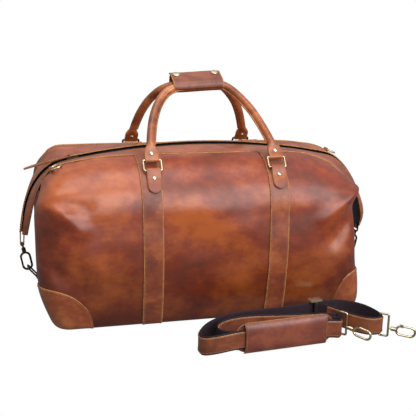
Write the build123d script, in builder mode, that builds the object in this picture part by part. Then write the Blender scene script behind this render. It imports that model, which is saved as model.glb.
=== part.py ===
"""Leather weekender bag with its loose shoulder strap.

Millimetres, +Z up, the bag's length along X, its front at -Y.  The origin is on the
surface that the bag stands on, under the middle of the base.
"""
import os
from math import cos, radians, sin, sqrt, tan

from build123d import *

os.makedirs("parts", exist_ok=True)

# ---- driving dimensions -------------------------------------------------------------
LEATHER = 2.5  # thickness of the body panels
BASE_HALF_LENGTH = 296.0
MID_HALF_LENGTH = 311.0
BASE_HALF_DEPTH = 144.0
MID_HALF_DEPTH = 161.0
ZIP_Z = 317.0  # height of the zip line at the middle
ZIP_RADIUS = 1314.0  # the zip line is an arc about a Y axis far below the bag
ARC_HALF = 264.0  # the arc's half length along X
SHOULDER_R = 100.0  # rounding between the front panel and the top
SHOULDER_Y = 56.0
SHOULDER_Z = 208.0
SEAM_Y = 61.2  # seam between the panels and the zip facings
END_TOP_Z = 262.0  # top edge of the end panels
CORNER_R = 35.0  # vertical corners of the body in plan

BAND_X = 123.0  # middle of each handle band
BAND_WIDTH = 38.0
TRIM = 2.0  # thickness of the bands and corner patches
CHAPE_WIDTH = 27.0  # leather loop that holds a handle ring
WIRE_R = 2.0  # wire of the handle rings
RING_X = 119.0
RING_WIDTH = 33.0  # between wire centres
RING_HEIGHT = 21.0
LEAN = 38.0  # the handles lean in from the vertical by this angle
RUN_GAP = 0.3  # clearance between pieces that move on each other

HANDLE_R = 8.0
CROWN = 160.0  # height of the handle's straight top above the ring's upper bar
GRIP_X = (-64.0, 33.0)  # where the grip wrap starts and ends
WRAP = 2.4  # leather of the grip wrap

STRAP_WIDTH = 36.0
WEBBING = 2.2
FACING_WIDTH = 30.0
FACING = 1.6
BUCKLE_LIFT = 5.0  # the buckles hold the strap off the floor by this much
PAD_LIFT = 11.0  # and the pad, which is wider than the strap, by this much
PAD_HEIGHT = 58.0

HOOK_WIRE = 2.1
HOOK_WIDTH = 17.0
HOOK_LENGTH = 34.0
BARREL_R = 4.0
BARREL_LENGTH = 8.0

REACH = 420.0  # longer than anything, for cutting


# ---- helpers ------------------------------------------------------------------------
def keep(builder, name):
    """Label a finished piece and write its STEP file."""
    builder.part.label = name
    export_step(builder.part, f"parts/{name}.step")


def zone(low, high, mode=Mode.INTERSECT):
    """Combine the box between two corners with the current part."""
    size = [high[i] - low[i] for i in range(3)]
    middle = tuple((high[i] + low[i]) / 2 for i in range(3))
    with Locations(middle):
        Box(*size, mode=mode)


def zip_z(x):
    """Height of the zip arc at x."""
    return ZIP_Z - ZIP_RADIUS + sqrt(ZIP_RADIUS**2 - x**2)


def rounding_radii(points, share=0.45):
    """Fillet radii for a route: as large as the shorter run at each corner allows."""
    radii = []
    for before, corner, after in zip(points, points[1:], points[2:]):
        run_in = Vector(corner) - Vector(before)
        run_out = Vector(after) - Vector(corner)
        half_turn = radians(run_in.get_angle(run_out)) / 2
        radii.append(share * min(run_in.length, run_out.length) / tan(half_turn))
    return radii


# ---- body panels --------------------------------------------------------------------
def depth_prism(inset):
    """The bag's section across its depth, along the whole length."""
    with BuildPart() as prism:
        with BuildSketch(Plane.YZ):
            with BuildLine():
                Line((0, 0), (BASE_HALF_DEPTH, 0))
                side_top = (SHOULDER_Y + SHOULDER_R, SHOULDER_Z)
                ThreePointArc((BASE_HALF_DEPTH, 0), (MID_HALF_DEPTH, 110), side_top)
                shoulder = CenterArc((SHOULDER_Y, SHOULDER_Z), SHOULDER_R, 0, 87)
                Line(shoulder @ 1, (0, ZIP_Z + 3))
                mirror(about=Plane.YZ)
            make_face()
            if inset:
                offset(amount=-inset, kind=Kind.INTERSECTION)
        extrude(amount=REACH, both=True)
    return prism.part


def length_prism(inset):
    """The bag's outline seen from the front, through the whole depth."""
    with BuildPart() as prism:
        with BuildSketch(Plane.XZ):
            with BuildLine():
                Line((0, 0), (BASE_HALF_LENGTH, 0))
                ThreePointArc((BASE_HALF_LENGTH, 0), (MID_HALF_LENGTH, 125), (308, 235))
                ThreePointArc((308, 235), (296, 270), (ARC_HALF, zip_z(ARC_HALF)))
                middle = ARC_HALF / 2
                ThreePointArc((ARC_HALF, zip_z(ARC_HALF)), (middle, zip_z(middle)), (0, ZIP_Z))
                mirror(about=Plane.YZ)
            make_face()
            if inset:
                offset(amount=-inset, kind=Kind.INTERSECTION)
        extrude(amount=REACH, both=True)
    return prism.part


def bag_form(inset):
    """The whole body as one solid, its faces moved in by inset."""
    with BuildPart() as form:
        add(depth_prism(inset))
        add(length_prism(inset), mode=Mode.INTERSECT)
        with BuildSketch(Plane.XY.offset(-10)):
            length = 2 * (MID_HALF_LENGTH + 1 - inset)
            depth = 2 * (MID_HALF_DEPTH + 1 - inset)
            RectangleRounded(length, depth, CORNER_R - inset)
        extrude(amount=REACH, mode=Mode.INTERSECT)
    return form.part


outer_form = bag_form(0)
inner_form = bag_form(LEATHER)
trim_form = bag_form(-TRIM)
loop_form = bag_form(-2 * TRIM)

with BuildPart() as leather_shell:
    add(outer_form)
    add(inner_form, mode=Mode.SUBTRACT)

with BuildPart() as end_walls:
    add(leather_shell.part)
    add(length_prism(LEATHER), mode=Mode.SUBTRACT)
    zone((-REACH, -REACH, LEATHER), (REACH, REACH, END_TOP_Z))

with BuildPart() as base_panel:
    add(leather_shell.part)
    zone((-REACH, -REACH, -1), (REACH, REACH, LEATHER))
keep(base_panel, "base_panel")

for name, low, high in (
    ("front_panel", -REACH, -SEAM_Y),
    ("back_panel", SEAM_Y, REACH),
):
    with BuildPart() as panel:
        add(leather_shell.part)
        zone((-REACH, low, LEATHER), (REACH, high, REACH))
        add(end_walls.part, mode=Mode.SUBTRACT)
    keep(panel, name)

for name, low, high in (("left_end_panel", -REACH, 0), ("right_end_panel", 0, REACH)):
    with BuildPart() as panel:
        add(end_walls.part)
        zone((low, -REACH, 0), (high, REACH, REACH))
    keep(panel, name)

ZIP_SLOT = 6.5  # half of the gap between the two facings
for name, low, high in (
    ("front_zip_facing", -SEAM_Y, -ZIP_SLOT),
    ("back_zip_facing", ZIP_SLOT, SEAM_Y),
):
    with BuildPart() as facing:
        add(leather_shell.part)
        zone((-REACH, low, END_TOP_Z), (REACH, high, REACH))
    keep(facing, name)

# raised welt along each seam between a panel and its facing
for name, side in (("front_welt", -1), ("back_welt", 1)):
    with BuildPart() as welt:
        add(trim_form)
        add(outer_form, mode=Mode.SUBTRACT)
        edges_y = sorted((side * (SEAM_Y - 1.5), side * (SEAM_Y + 1.5)))
        zone((-REACH, edges_y[0], 225), (REACH, edges_y[1], REACH))
    keep(welt, name)

# stiffener board under the lining, and the lining itself
BOARD = 3.0
with BuildPart() as base_board:
    with BuildSketch(Plane.XY.offset(LEATHER)):
        RectangleRounded(2 * BASE_HALF_LENGTH - 30, 2 * BASE_HALF_DEPTH - 30, 15)
    extrude(amount=BOARD)
keep(base_board, "base_board")

LINING_GAP = 0.8
with BuildPart() as lining:
    add(bag_form(LEATHER + LINING_GAP))
    zone((-REACH, -REACH, LEATHER + BOARD + 0.1), (REACH, REACH, 250))
    with BuildPart(mode=Mode.PRIVATE) as lining_space:
        add(bag_form(LEATHER + LINING_GAP + 1.0))
        zone((-REACH, -REACH, LEATHER + BOARD + 1.1), (REACH, REACH, REACH))
    add(lining_space.part, mode=Mode.SUBTRACT)
keep(lining, "lining")


# ---- handle bands, corner patches and chapes ------------------------------------------
def trim_piece(outline, front, name):
    """A flat piece stitched on the front or back panel, cut to an outline in XZ."""
    with BuildPart() as piece:
        add(trim_form)
        add(outer_form, mode=Mode.SUBTRACT)
        extrude(outline, amount=REACH, both=True, mode=Mode.INTERSECT)
        depth = sorted((front * (SEAM_Y + 1.6), front * REACH))
        zone((-REACH, depth[0], 0), (REACH, depth[1], REACH))
    keep(piece, name)


for side_name, front in (("front", -1), ("back", 1)):
    for hand_name, hand in (("left", -1), ("right", 1)):
        with BuildSketch(Plane.XZ) as band_outline:
            with Locations((hand * BAND_X, 160)):
                Rectangle(BAND_WIDTH, 330)
        trim_piece(band_outline.sketch, front, f"{side_name}_{hand_name}_band")

PATCH_BOTTOM = 232.0  # where a patch's edge meets the base
PATCH_TOP = 90.0  # and the side edge


with BuildSketch(Plane.XZ) as patch_outline:
    with BuildLine():
        Polyline((PATCH_BOTTOM, 0), (330, 0), (330, PATCH_TOP), (300, PATCH_TOP))
        ThreePointArc((300, PATCH_TOP), (256, 64), (PATCH_BOTTOM, 0))
    make_face()
    mirror(about=Plane.YZ)
for side_name, front in (("front", -1), ("back", 1)):
    trim_piece(patch_outline.sketch, front, f"{side_name}_corner_patches")

# the rings' lower bars lie just proud of the bands, on the rounded shoulder
BAR_ANGLE = 50.0  # above the horizontal, seen from the shoulder's centre
BAR_OUT = SHOULDER_R + TRIM + 5.6
bar_y = SHOULDER_Y + BAR_OUT * cos(radians(BAR_ANGLE))
bar_z = SHOULDER_Z + BAR_OUT * sin(radians(BAR_ANGLE))
top_bar_y = bar_y - RING_HEIGHT * sin(radians(LEAN))
top_bar_z = bar_z + RING_HEIGHT * cos(radians(LEAN))


def lean_plane(front, y, z):
    """Plane of a leaning handle: its x along X, its y up along the handle."""
    normal = (0, -cos(radians(LEAN)), -front * sin(radians(LEAN)))
    return Plane(origin=(0, front * y, z), x_dir=(1, 0, 0), z_dir=normal)


LOOP_IN = WIRE_R + RUN_GAP
LOOP_OUT = LOOP_IN + 2.4
RIVET_R = 3.8
for side_name, front in (("front", -1), ("back", 1)):
    with BuildPart() as chapes:
        add(loop_form)
        add(trim_form, mode=Mode.SUBTRACT)
        with BuildSketch(Plane.XZ):
            with Locations((-RING_X, 270), (RING_X, 270)):
                Rectangle(CHAPE_WIDTH, 36)
        extrude(amount=REACH, both=True, mode=Mode.INTERSECT)
        depth = sorted((front * 100, front * REACH))
        zone((-REACH, depth[0], 0), (REACH, depth[1], REACH))
        with BuildSketch(Plane.YZ):
            with Locations((front * bar_y, bar_z)):
                Circle(LOOP_OUT)
        extrude(amount=RING_X + CHAPE_WIDTH / 2, both=True)
        zone((-RING_X + CHAPE_WIDTH / 2, -REACH, 0),
             (RING_X - CHAPE_WIDTH / 2, REACH, REACH), Mode.SUBTRACT)
        with BuildSketch(Plane.YZ):
            with Locations((front * bar_y, bar_z)):
                Circle(LOOP_IN)
        extrude(amount=REACH, both=True, mode=Mode.SUBTRACT)
    keep(chapes, f"{side_name}_chapes")

RIVET_ANGLE = 41.0
with BuildPart() as chape_rivets:
    for front in (-1, 1):
        outward = (0, front * cos(radians(RIVET_ANGLE)), sin(radians(RIVET_ANGLE)))
        seat = SHOULDER_R + 2 * TRIM
        seat_y = front * SHOULDER_Y + seat * outward[1]
        seat_z = SHOULDER_Z + seat * outward[2]
        for x in (-RING_X, RING_X):
            with BuildSketch(Plane(origin=(x, seat_y, seat_z), x_dir=(1, 0, 0), z_dir=outward)):
                Circle(RIVET_R)
            extrude(amount=1.4)
keep(chape_rivets, "chape_rivets")


# ---- handle rings -----------------------------------------------------------------------
def wire_loop(plane, width, height, radius, wire):
    """A closed rounded rectangle of round wire."""
    with BuildPart() as loop:
        with BuildSketch(plane, mode=Mode.PRIVATE) as outline:
            RectangleRounded(width, height, radius)
        path = outline.sketch.face().outer_wire()
        with BuildSketch(Plane(origin=path @ 0, z_dir=path % 0)):
            Circle(wire)
        sweep(path=path)
    return loop.part


for side_name, front in (("front", -1), ("back", 1)):
    for hand_name, hand in (("left", -1), ("right", 1)):
        frame = lean_plane(front, (bar_y + top_bar_y) / 2, (bar_z + top_bar_z) / 2)
        centre = frame.from_local_coords((hand * RING_X, 0, 0))
        ring_plane = Plane(origin=centre, x_dir=(1, 0, 0), z_dir=frame.z_dir)
        with BuildPart() as ring:
            add(wire_loop(ring_plane, RING_WIDTH, RING_HEIGHT, 2.6, WIRE_R))
        keep(ring, f"{side_name}_{hand_name}_ring")

# ---- rolled handles ---------------------------------------------------------------------
# centre line in the handle's own plane: along X, and up from the ring's upper bar
handle_points = [(-118, 30), (-109, 92), (-94, 130), (-78, CROWN), (54, CROWN), (99, 84), (117, 30)]
handle_radii = [150, 60, 23, 34, 150]
TAB_END = 26.0
for side_name, front in (("front", -1), ("back", 1)):
    frame = lean_plane(front, top_bar_y, top_bar_z)
    bar_sketch = Plane(origin=(0, front * top_bar_y, top_bar_z), x_dir=(0, 1, 0), z_dir=(1, 0, 0))
    with BuildPart() as handle:
        with BuildLine(frame) as line:
            FilletPolyline(*handle_points, radius=handle_radii)
        with BuildSketch(Plane(origin=line.line @ 0, z_dir=line.line % 0)):
            Circle(HANDLE_R)
        sweep(path=line.line)
        for x, start in ((-RING_X, line.line @ 0), (RING_X, line.line @ 1)):
            tab = Plane(origin=frame.from_local_coords((x, TAB_END - 10, 0)),
                        x_dir=(1, 0, 0), z_dir=frame.y_dir)
            with BuildSketch(tab):
                RectangleRounded(CHAPE_WIDTH, 6.5, 3)
            with BuildSketch(Plane(origin=start, x_dir=(1, 0, 0), z_dir=frame.y_dir)):
                RectangleRounded(2 * HANDLE_R, 2 * HANDLE_R - 0.1, HANDLE_R - 0.1)
            loft()
            with BuildSketch(tab):
                RectangleRounded(CHAPE_WIDTH, 6.5, 3)
            extrude(amount=-(TAB_END - 10 - 3))
            with BuildSketch(bar_sketch.offset(x)):
                Circle(LOOP_OUT)
            extrude(amount=CHAPE_WIDTH / 2, both=True)
            with BuildSketch(bar_sketch.offset(x)):
                Circle(LOOP_IN)
            extrude(amount=CHAPE_WIDTH, both=True, mode=Mode.SUBTRACT)
    keep(handle, f"{side_name}_handle")
    with BuildPart() as rivets:
        for x in (-RING_X, RING_X):
            face = Plane(origin=frame.from_local_coords((x, 12, 0)), x_dir=(1, 0, 0), z_dir=frame.z_dir)
            with BuildSketch(face.offset(3.25)):
                Circle(RIVET_R)
            extrude(amount=1.4)
            with BuildSketch(face.offset(-3.25)):
                Circle(RIVET_R)
            extrude(amount=-1.4)
    keep(rivets, f"{side_name}_handle_rivets")

# ---- grip wrap round both handles ---------------------------------------------------------
crown_y = top_bar_y - CROWN * sin(radians(LEAN))
crown_z = top_bar_z + CROWN * cos(radians(LEAN))
wrap_in = HANDLE_R + 0.5
wrap_out = wrap_in + WRAP
grip_length = GRIP_X[1] - GRIP_X[0]
grip_plane = Plane(origin=(GRIP_X[0], 0, crown_z), x_dir=(0, 1, 0), z_dir=(1, 0, 0))
FLAP_GAP = 0.3
LIP = 13.0  # the wrap's two top edges stop this far from the middle

with BuildPart() as grip_wrap:
    with BuildSketch(grip_plane):
        SlotCenterToCenter(2 * crown_y, 2 * wrap_out)
        SlotCenterToCenter(2 * crown_y, 2 * wrap_in, mode=Mode.SUBTRACT)
        with Locations((0, wrap_out)):
            Rectangle(2 * LIP, 2 * wrap_out, mode=Mode.SUBTRACT)
    extrude(amount=grip_length)
keep(grip_wrap, "grip_wrap")

flap_low = crown_z + wrap_out + FLAP_GAP
flap_front = -crown_y - 5
flap_back = crown_y + 5
with BuildPart() as grip_flap:
    zone((GRIP_X[0], flap_front, flap_low), (GRIP_X[1], flap_back, flap_low + WRAP), Mode.ADD)
    fillet(grip_flap.edges().filter_by(Axis.Z), 5)
keep(grip_flap, "grip_flap")

SNAP_R = 7.0
snap_x = (-56.0, 25.0)
snap_y = crown_y - 3
with BuildPart() as snap_caps:
    with BuildSketch(Plane.XY.offset(flap_low + WRAP)):
        with Locations(*[(x, snap_y) for x in snap_x]):
            Circle(SNAP_R)
    extrude(amount=2.4, taper=25)
keep(snap_caps, "snap_caps")


# ---- zip ----------------------------------------------------------------------------------
def arc_strip(width_low, width_high, z_low, z_high, half_length, name):
    """Strips along the zip arc, both sides of the middle, between two depths below it."""
    with BuildPart() as strip:
        with BuildSketch(Plane.XZ):
            with BuildLine():
                ends = []
                for drop in (z_high, z_low):
                    radius = ZIP_RADIUS + drop
                    side_z = ZIP_Z - ZIP_RADIUS + sqrt(radius**2 - half_length**2)
                    ThreePointArc((-half_length, side_z), (0, ZIP_Z + drop), (half_length, side_z))
                    ends.append(side_z)
                for x in (-half_length, half_length):
                    Line((x, ends[0]), (x, ends[1]))
            make_face()
        extrude(amount=width_high, both=True)
        zone((-REACH, -width_low, 0), (REACH, width_low, REACH), Mode.SUBTRACT)
    keep(strip, name)


TAPE_TOP = -LEATHER - 0.1
COIL_Z = -LEATHER - 0.4
ZIP_HALF = 262.0
arc_strip(3.2, 12.5, TAPE_TOP - 0.6, TAPE_TOP, ZIP_HALF, "zipper_tapes")
arc_strip(0.45, 3.2, COIL_Z - 1.2, COIL_Z + 1.2, ZIP_HALF, "zipper_coils")

SLIDER_ANGLE = -11.0  # where the slider rests, about the arc's centre
SLIDER_LENGTH = 24.0
slider_turn = radians(SLIDER_ANGLE)
slider_plane = Plane(
    origin=(ZIP_RADIUS * sin(slider_turn), 0, ZIP_Z - ZIP_RADIUS + ZIP_RADIUS * cos(slider_turn)),
    x_dir=(cos(slider_turn), 0, -sin(slider_turn)),
    z_dir=(0, -1, 0),
)
BAIL_Z = 5.5
with BuildPart() as zipper_slider:
    with BuildSketch(slider_plane):
        with Locations((0, COIL_Z)):
            RectangleRounded(SLIDER_LENGTH, 7.6, 1.5)
    extrude(amount=5.6, both=True)
    with BuildSketch(slider_plane):
        with Locations((0, COIL_Z)):
            Rectangle(2 * SLIDER_LENGTH, 3.2)
    extrude(amount=3.6, both=True, mode=Mode.SUBTRACT)
    with BuildSketch(slider_plane):
        with Locations((0, TAPE_TOP - 0.3)):
            Rectangle(2 * SLIDER_LENGTH, 1.6)
    extrude(amount=10, both=True, mode=Mode.SUBTRACT)
    with BuildSketch(slider_plane):
        with Locations((0, COIL_Z)):
            Rectangle(6, 6)
    extrude(amount=0.3, both=True)
    with BuildSketch(slider_plane):
        with Locations((-6, 2.4)):
            Rectangle(5, 5)
        with Locations((-6, BAIL_Z)):
            Circle(2.5)
            Circle(1.3, mode=Mode.SUBTRACT)
    extrude(amount=1.5, both=True)
keep(zipper_slider, "zipper_slider")

PULL_DROOP = 4.0  # the pull lies this much steeper than the zip line
PULL_LENGTH = 88.0
bail = slider_plane.from_local_coords((-6, BAIL_Z, 0))
pull_turn = slider_turn - radians(PULL_DROOP)
pull_plane = Plane(origin=bail, x_dir=(cos(pull_turn), 0, -sin(pull_turn)), z_dir=(0, -1, 0))
with BuildPart() as zipper_pull:
    with BuildSketch(pull_plane):
        Circle(1.0)
    extrude(amount=3.4, both=True)
    with BuildSketch(pull_plane):
        with Locations((-7, 0)):
            Rectangle(16, 2)
    extrude(amount=3.4, both=True)
    with BuildSketch(pull_plane):
        with Locations((-2.2, 0)):
            Rectangle(9.2, 3)
    extrude(amount=2.0, both=True, mode=Mode.SUBTRACT)
    with BuildSketch(pull_plane):
        Circle(1.0)
    extrude(amount=3.4, both=True)
    with BuildSketch(pull_plane):
        with Locations((-PULL_LENGTH / 2 - 6, 0)):
            Rectangle(PULL_LENGTH - 12, 2.4)
    extrude(amount=4.0, both=True)
keep(zipper_pull, "zipper_pull")


# ---- end wings, their straps, hooks and rings -----------------------------------------------
def hook_frame(origin, axis, normal):
    """Frame of a snap hook: local y runs down the hook, local z out of the oval."""
    axis = Vector(*axis).normalized()
    normal = Vector(*normal)
    normal = (normal - axis * normal.dot(axis)).normalized()
    return Plane(origin=origin, x_dir=axis.cross(normal), z_dir=normal)


GATE_TOP = BARREL_LENGTH + 2 + 9.6  # the gate's hinge, down the hook from the barrel's top
GATE_LENGTH = 15.0


def hook_body(frame, shank_bore):
    """Barrel and open oval of a snap hook, with the ears and pin of its gate."""
    oval = frame.from_local_coords((0, BARREL_LENGTH + 2 + HOOK_LENGTH / 2, 0))
    oval_plane = Plane(origin=oval, x_dir=frame.y_dir, z_dir=frame.z_dir)
    barrel = Plane(origin=frame.origin, x_dir=frame.x_dir, z_dir=frame.y_dir)
    half = HOOK_WIDTH / 2
    with BuildPart() as body:
        with BuildSketch(oval_plane, mode=Mode.PRIVATE) as outline:
            SlotOverall(HOOK_LENGTH, HOOK_WIDTH)
        path = outline.sketch.face().outer_wire()
        with BuildSketch(Plane(origin=path @ 0, z_dir=path % 0)):
            Circle(HOOK_WIRE)
        sweep(path=path)
        with BuildSketch(barrel):
            Circle(BARREL_R)
        extrude(amount=BARREL_LENGTH + 1)
        with BuildSketch(frame):
            with Locations((half, GATE_TOP + 6.4)):
                Rectangle(4.6, 18)
        extrude(amount=4, both=True, mode=Mode.SUBTRACT)
        with BuildSketch(frame):
            with Locations((half, GATE_TOP - 1.8)):
                Rectangle(3.6, 6.6)
        extrude(amount=3.2, both=True)
        with BuildSketch(frame):
            with Locations((half, GATE_TOP + 1)):
                Rectangle(5, 7)
        extrude(amount=2.4, both=True, mode=Mode.SUBTRACT)
        with BuildSketch(frame):
            with Locations((half, GATE_TOP)):
                Circle(0.8)
        extrude(amount=3.2, both=True)
        if shank_bore:
            with BuildSketch(barrel):
                Circle(shank_bore)
            extrude(amount=BARREL_LENGTH - 1, mode=Mode.SUBTRACT)
    return body.part


def hook_gate(frame, name):
    """The sprung gate that closes a hook's oval."""
    half = HOOK_WIDTH / 2
    bar = Plane(origin=frame.from_local_coords((half, GATE_TOP, 0)), x_dir=frame.x_dir,
                z_dir=frame.y_dir)
    with BuildPart() as gate:
        with BuildSketch(bar):
            Circle(1.8)
        extrude(amount=GATE_LENGTH - 0.4)
        with BuildSketch(frame):
            with Locations((half, GATE_TOP)):
                Circle(2.0)
        extrude(amount=2.1, both=True)
        with BuildSketch(frame):
            with Locations((half, GATE_TOP)):
                Circle(0.88)
        extrude(amount=4, both=True, mode=Mode.SUBTRACT)
    keep(gate, name)


WING_HALF_TOP = 58.0
EYE = (349.0, 0.0, 124.0)  # middle of the end hook's eye
RING_TOP = (340.4, 0.0, 81.4)  # the end ring's bar that the hook holds
RING_FOOT = (321.5, 0.0, 60.0)  # the bar that its leather tab holds
END_WIRE = 1.7

for hand_name, hand in (("left", -1), ("right", 1)):
    with BuildPart() as wing:
        with BuildSketch(Plane.XZ):
            with BuildLine() as spine:
                ThreePointArc((hand * 272, 290.4), (hand * 318, 259), (hand * 342, 202))
                ThreePointArc((hand * 342, 202), (hand * 347.5, 175), (hand * 350.5, 148))
            trace(line_width=4.0)
        extrude(amount=WING_HALF_TOP, both=True)
        with BuildSketch(Plane.YZ):
            with BuildLine():
                Polyline((-WING_HALF_TOP, 300), (WING_HALF_TOP, 300), (WING_HALF_TOP, 272),
                         (24, 180), (15, 140), (-15, 140), (-24, 180), (-WING_HALF_TOP, 272),
                         (-WING_HALF_TOP, 300))
            make_face()
        extrude(amount=REACH, both=True, mode=Mode.INTERSECT)
        zone((-REACH, -6, 284), (REACH, 6, 300), Mode.SUBTRACT)
        add(trim_form, mode=Mode.SUBTRACT)
    keep(wing, f"{hand_name}_wing")

    hook_axis = (RING_TOP[0] - EYE[0], 0, RING_TOP[2] - EYE[2])
    axis = Vector(hand * hook_axis[0], 0, hook_axis[2]).normalized()
    eye = Vector(hand * EYE[0], 0, EYE[2])
    frame = hook_frame(eye + axis * 4.5, tuple(axis), (0, -1, 0))
    with BuildPart() as end_hook:
        add(hook_body(frame, 0))
        eye_plane = Plane(origin=eye, x_dir=(0, 1, 0), z_dir=frame.x_dir)
        add(wire_loop(eye_plane, 20, 9, 3, END_WIRE))
    keep(end_hook, f"{hand_name}_end_hook")
    hook_gate(frame, f"{hand_name}_end_gate")

    foot = Vector(hand * RING_FOOT[0], 0, RING_FOOT[2])
    top = Vector(hand * RING_TOP[0], 0, RING_TOP[2])
    rise = top - foot
    ring_plane = Plane(origin=(foot + top) / 2, x_dir=tuple(rise),
                       z_dir=tuple(Vector(0, 1, 0).cross(rise)))
    with BuildPart() as end_ring:
        add(wire_loop(ring_plane, rise.length, 22, 4, END_WIRE))
    keep(end_ring, f"{hand_name}_end_ring")

with BuildPart() as wing_straps:
    for hand in (-1, 1):
        axis = Vector(hand * (RING_TOP[0] - EYE[0]), 0, RING_TOP[2] - EYE[2]).normalized()
        top_bar = Vector(hand * EYE[0], 0, EYE[2]) - axis * 4.5
        with BuildSketch(Plane.XZ.offset(-6.5)):
            with BuildLine():
                Line((hand * 354.3, 178), (hand * 354.6, 140))
                Line((hand * 354.6, 140), (top_bar.X + hand * 3, top_bar.Z))
            trace(line_width=2.4)
            with Locations((top_bar.X, top_bar.Z)):
                Circle(END_WIRE + RUN_GAP + 2.0)
        extrude(amount=13)
        with BuildSketch(Plane.XZ.offset(-6.5)):
            with Locations((top_bar.X, top_bar.Z)):
                Circle(END_WIRE + RUN_GAP)
        extrude(amount=13, mode=Mode.SUBTRACT)
keep(wing_straps, "wing_straps")

with BuildPart() as end_ring_tabs:
    for hand in (-1, 1):
        with BuildSketch(Plane.XZ.offset(-6.5)):
            with Locations((hand * RING_FOOT[0], RING_FOOT[2])):
                Circle(END_WIRE + RUN_GAP + 2.0)
            with BuildLine():
                Line((hand * (RING_FOOT[0] - 2.5), RING_FOOT[2] - 2), (hand * 308, 38))
            trace(line_width=3.0)
        extrude(amount=13)
        with BuildSketch(Plane.XZ.offset(-6.5)):
            with Locations((hand * RING_FOOT[0], RING_FOOT[2])):
                Circle(END_WIRE + RUN_GAP)
        extrude(amount=13, mode=Mode.SUBTRACT)
    add(outer_form, mode=Mode.SUBTRACT)
keep(end_ring_tabs, "end_ring_tabs")

# ---- D-rings on the top, one at each end, on opposite sides -----------------------------------
D_RING_X = 297.0
D_RING_Z = 286.0
D_RING_Y = 64.0
D_WIDTH = 24.0
D_REACH = 19.0
D_SLOPE = 22.0
for hand_name, hand, inward in (("left", -1, 1), ("right", 1, -1)):
    out_y = hand * D_RING_Y
    direction = (cos(radians(D_SLOPE)), 0, sin(radians(D_SLOPE)) * inward)
    pivot = Vector(hand * D_RING_X, out_y, D_RING_Z)
    middle = pivot + Vector(*direction) * (D_REACH / 2)
    flat = Vector(*direction).cross(Vector(0, 1, 0))
    with BuildPart() as d_ring:
        d_plane = Plane(origin=middle, x_dir=direction, z_dir=tuple(flat))
        add(wire_loop(d_plane, D_REACH, D_WIDTH, 7, 1.8))
    keep(d_ring, f"{hand_name}_d_ring")

with BuildPart() as d_ring_tabs:
    for hand in (-1, 1):
        with BuildSketch(Plane.XZ.offset(-hand * D_RING_Y - 5)):
            with Locations((hand * D_RING_X, D_RING_Z)):
                Circle(1.8 + RUN_GAP + 2.0)
            with BuildLine():
                Line((hand * (D_RING_X - 1), D_RING_Z - 3), (hand * (D_RING_X - 6), D_RING_Z - 16))
            trace(line_width=4.0)
        extrude(amount=10)
        with BuildSketch(Plane.XZ.offset(-hand * D_RING_Y - 5)):
            with Locations((hand * D_RING_X, D_RING_Z)):
                Circle(1.8 + RUN_GAP)
        extrude(amount=10, mode=Mode.SUBTRACT)
    add(trim_form, mode=Mode.SUBTRACT)
keep(d_ring_tabs, "d_ring_tabs")

# ---- shoulder strap, lying on edge on the floor in front of the bag ----------------------------
strap_points = [
    (200, -254), (166, -244), (112, -229), (52, -218), (6, -222), (-27, -243),
    (-31, -274), (-3, -291), (50, -288), (104, -281), (152, -271), (196, -262),
    (196, -289), (-46, -311), (-69, -299), (-66, -269), (-36, -228), (14, -201),
    (70, -195), (130, -197), (215, -184), (247, -196), (269, -220), (278, -249),
    (281, -285), (251, -288), (229, -264), (213, -234), (199, -209), (186.4, -198),
]
HOOK_BEND = 23  # the bend that goes round the second hook's bar
strap_radii = rounding_radii(strap_points)
with BuildLine():
    strap_route = FilletPolyline(*strap_points, radius=strap_radii)
print("strap bend radii", [round(radius) for radius in strap_radii])
print("strap length", round(strap_route.length))

# the strap rises from the floor to the buckles, and to the pad on the nearest run
plain_rise = [(-120, 0), (110, 0), (158, BUCKLE_LIFT), (330, BUCKLE_LIFT)]
pad_rise = [(-120, 0), (-64, 0), (-28, PAD_LIFT), (172, PAD_LIFT), (192, BUCKLE_LIFT),
            (330, BUCKLE_LIFT)]
with BuildSketch() as pad_side:
    Polygon((-90, -330), (-58, -302), (190, -276.5), (230, -276.5), (230, -340), (-90, -340),
            align=None)

LOOP_R = WIRE_R + 0.4  # inside of the webbing loops round the buckle bars
HOOK_1_BAR = Vector(203.6, -255.6, 0)
ADJUSTER_SHARE = 0.62  # how far along its straight run the adjuster sits
run_start = Vector(130, -197, 0)
run_end = Vector(215, -184, 0)
adjust_dir = (run_end - run_start).normalized()
adjust_side = Vector(adjust_dir.Y, -adjust_dir.X, 0)
adjust_centre = run_start + (run_end - run_start) * ADJUSTER_SHARE
BAR_OFF = WEBBING / 2 + 5.2
adjust_bar = adjust_centre + adjust_side * BAR_OFF
loop_bars = [(HOOK_1_BAR.X, HOOK_1_BAR.Y), (adjust_bar.X, adjust_bar.Y)]


def lift_envelope(rise_points, width):
    """Everything between a strip's lower and upper edge, seen from the front."""
    margin = (STRAP_WIDTH - width) / 2
    low = [(x, z + margin) for x, z in rise_points]
    high = [(x, z + margin + width) for x, z in reversed(rise_points)]
    with BuildPart() as envelope:
        with BuildSketch(Plane.XZ):
            with BuildLine():
                Polyline(*low, *high, low[0])
            make_face()
        extrude(amount=REACH, both=True)
    return envelope.part


def ribbon(outline, width):
    """A band on edge with the given plan, at the height that holds it up."""
    with BuildPart() as plain:
        extrude(outline, amount=80)
        add(lift_envelope(plain_rise, width), mode=Mode.INTERSECT)
        extrude(pad_side.sketch, amount=80, mode=Mode.SUBTRACT)
    with BuildPart() as near_run:
        extrude(outline, amount=80)
        add(lift_envelope(pad_rise, width), mode=Mode.INTERSECT)
        extrude(pad_side.sketch, amount=80, mode=Mode.INTERSECT)
    return plain.part + near_run.part


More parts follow.
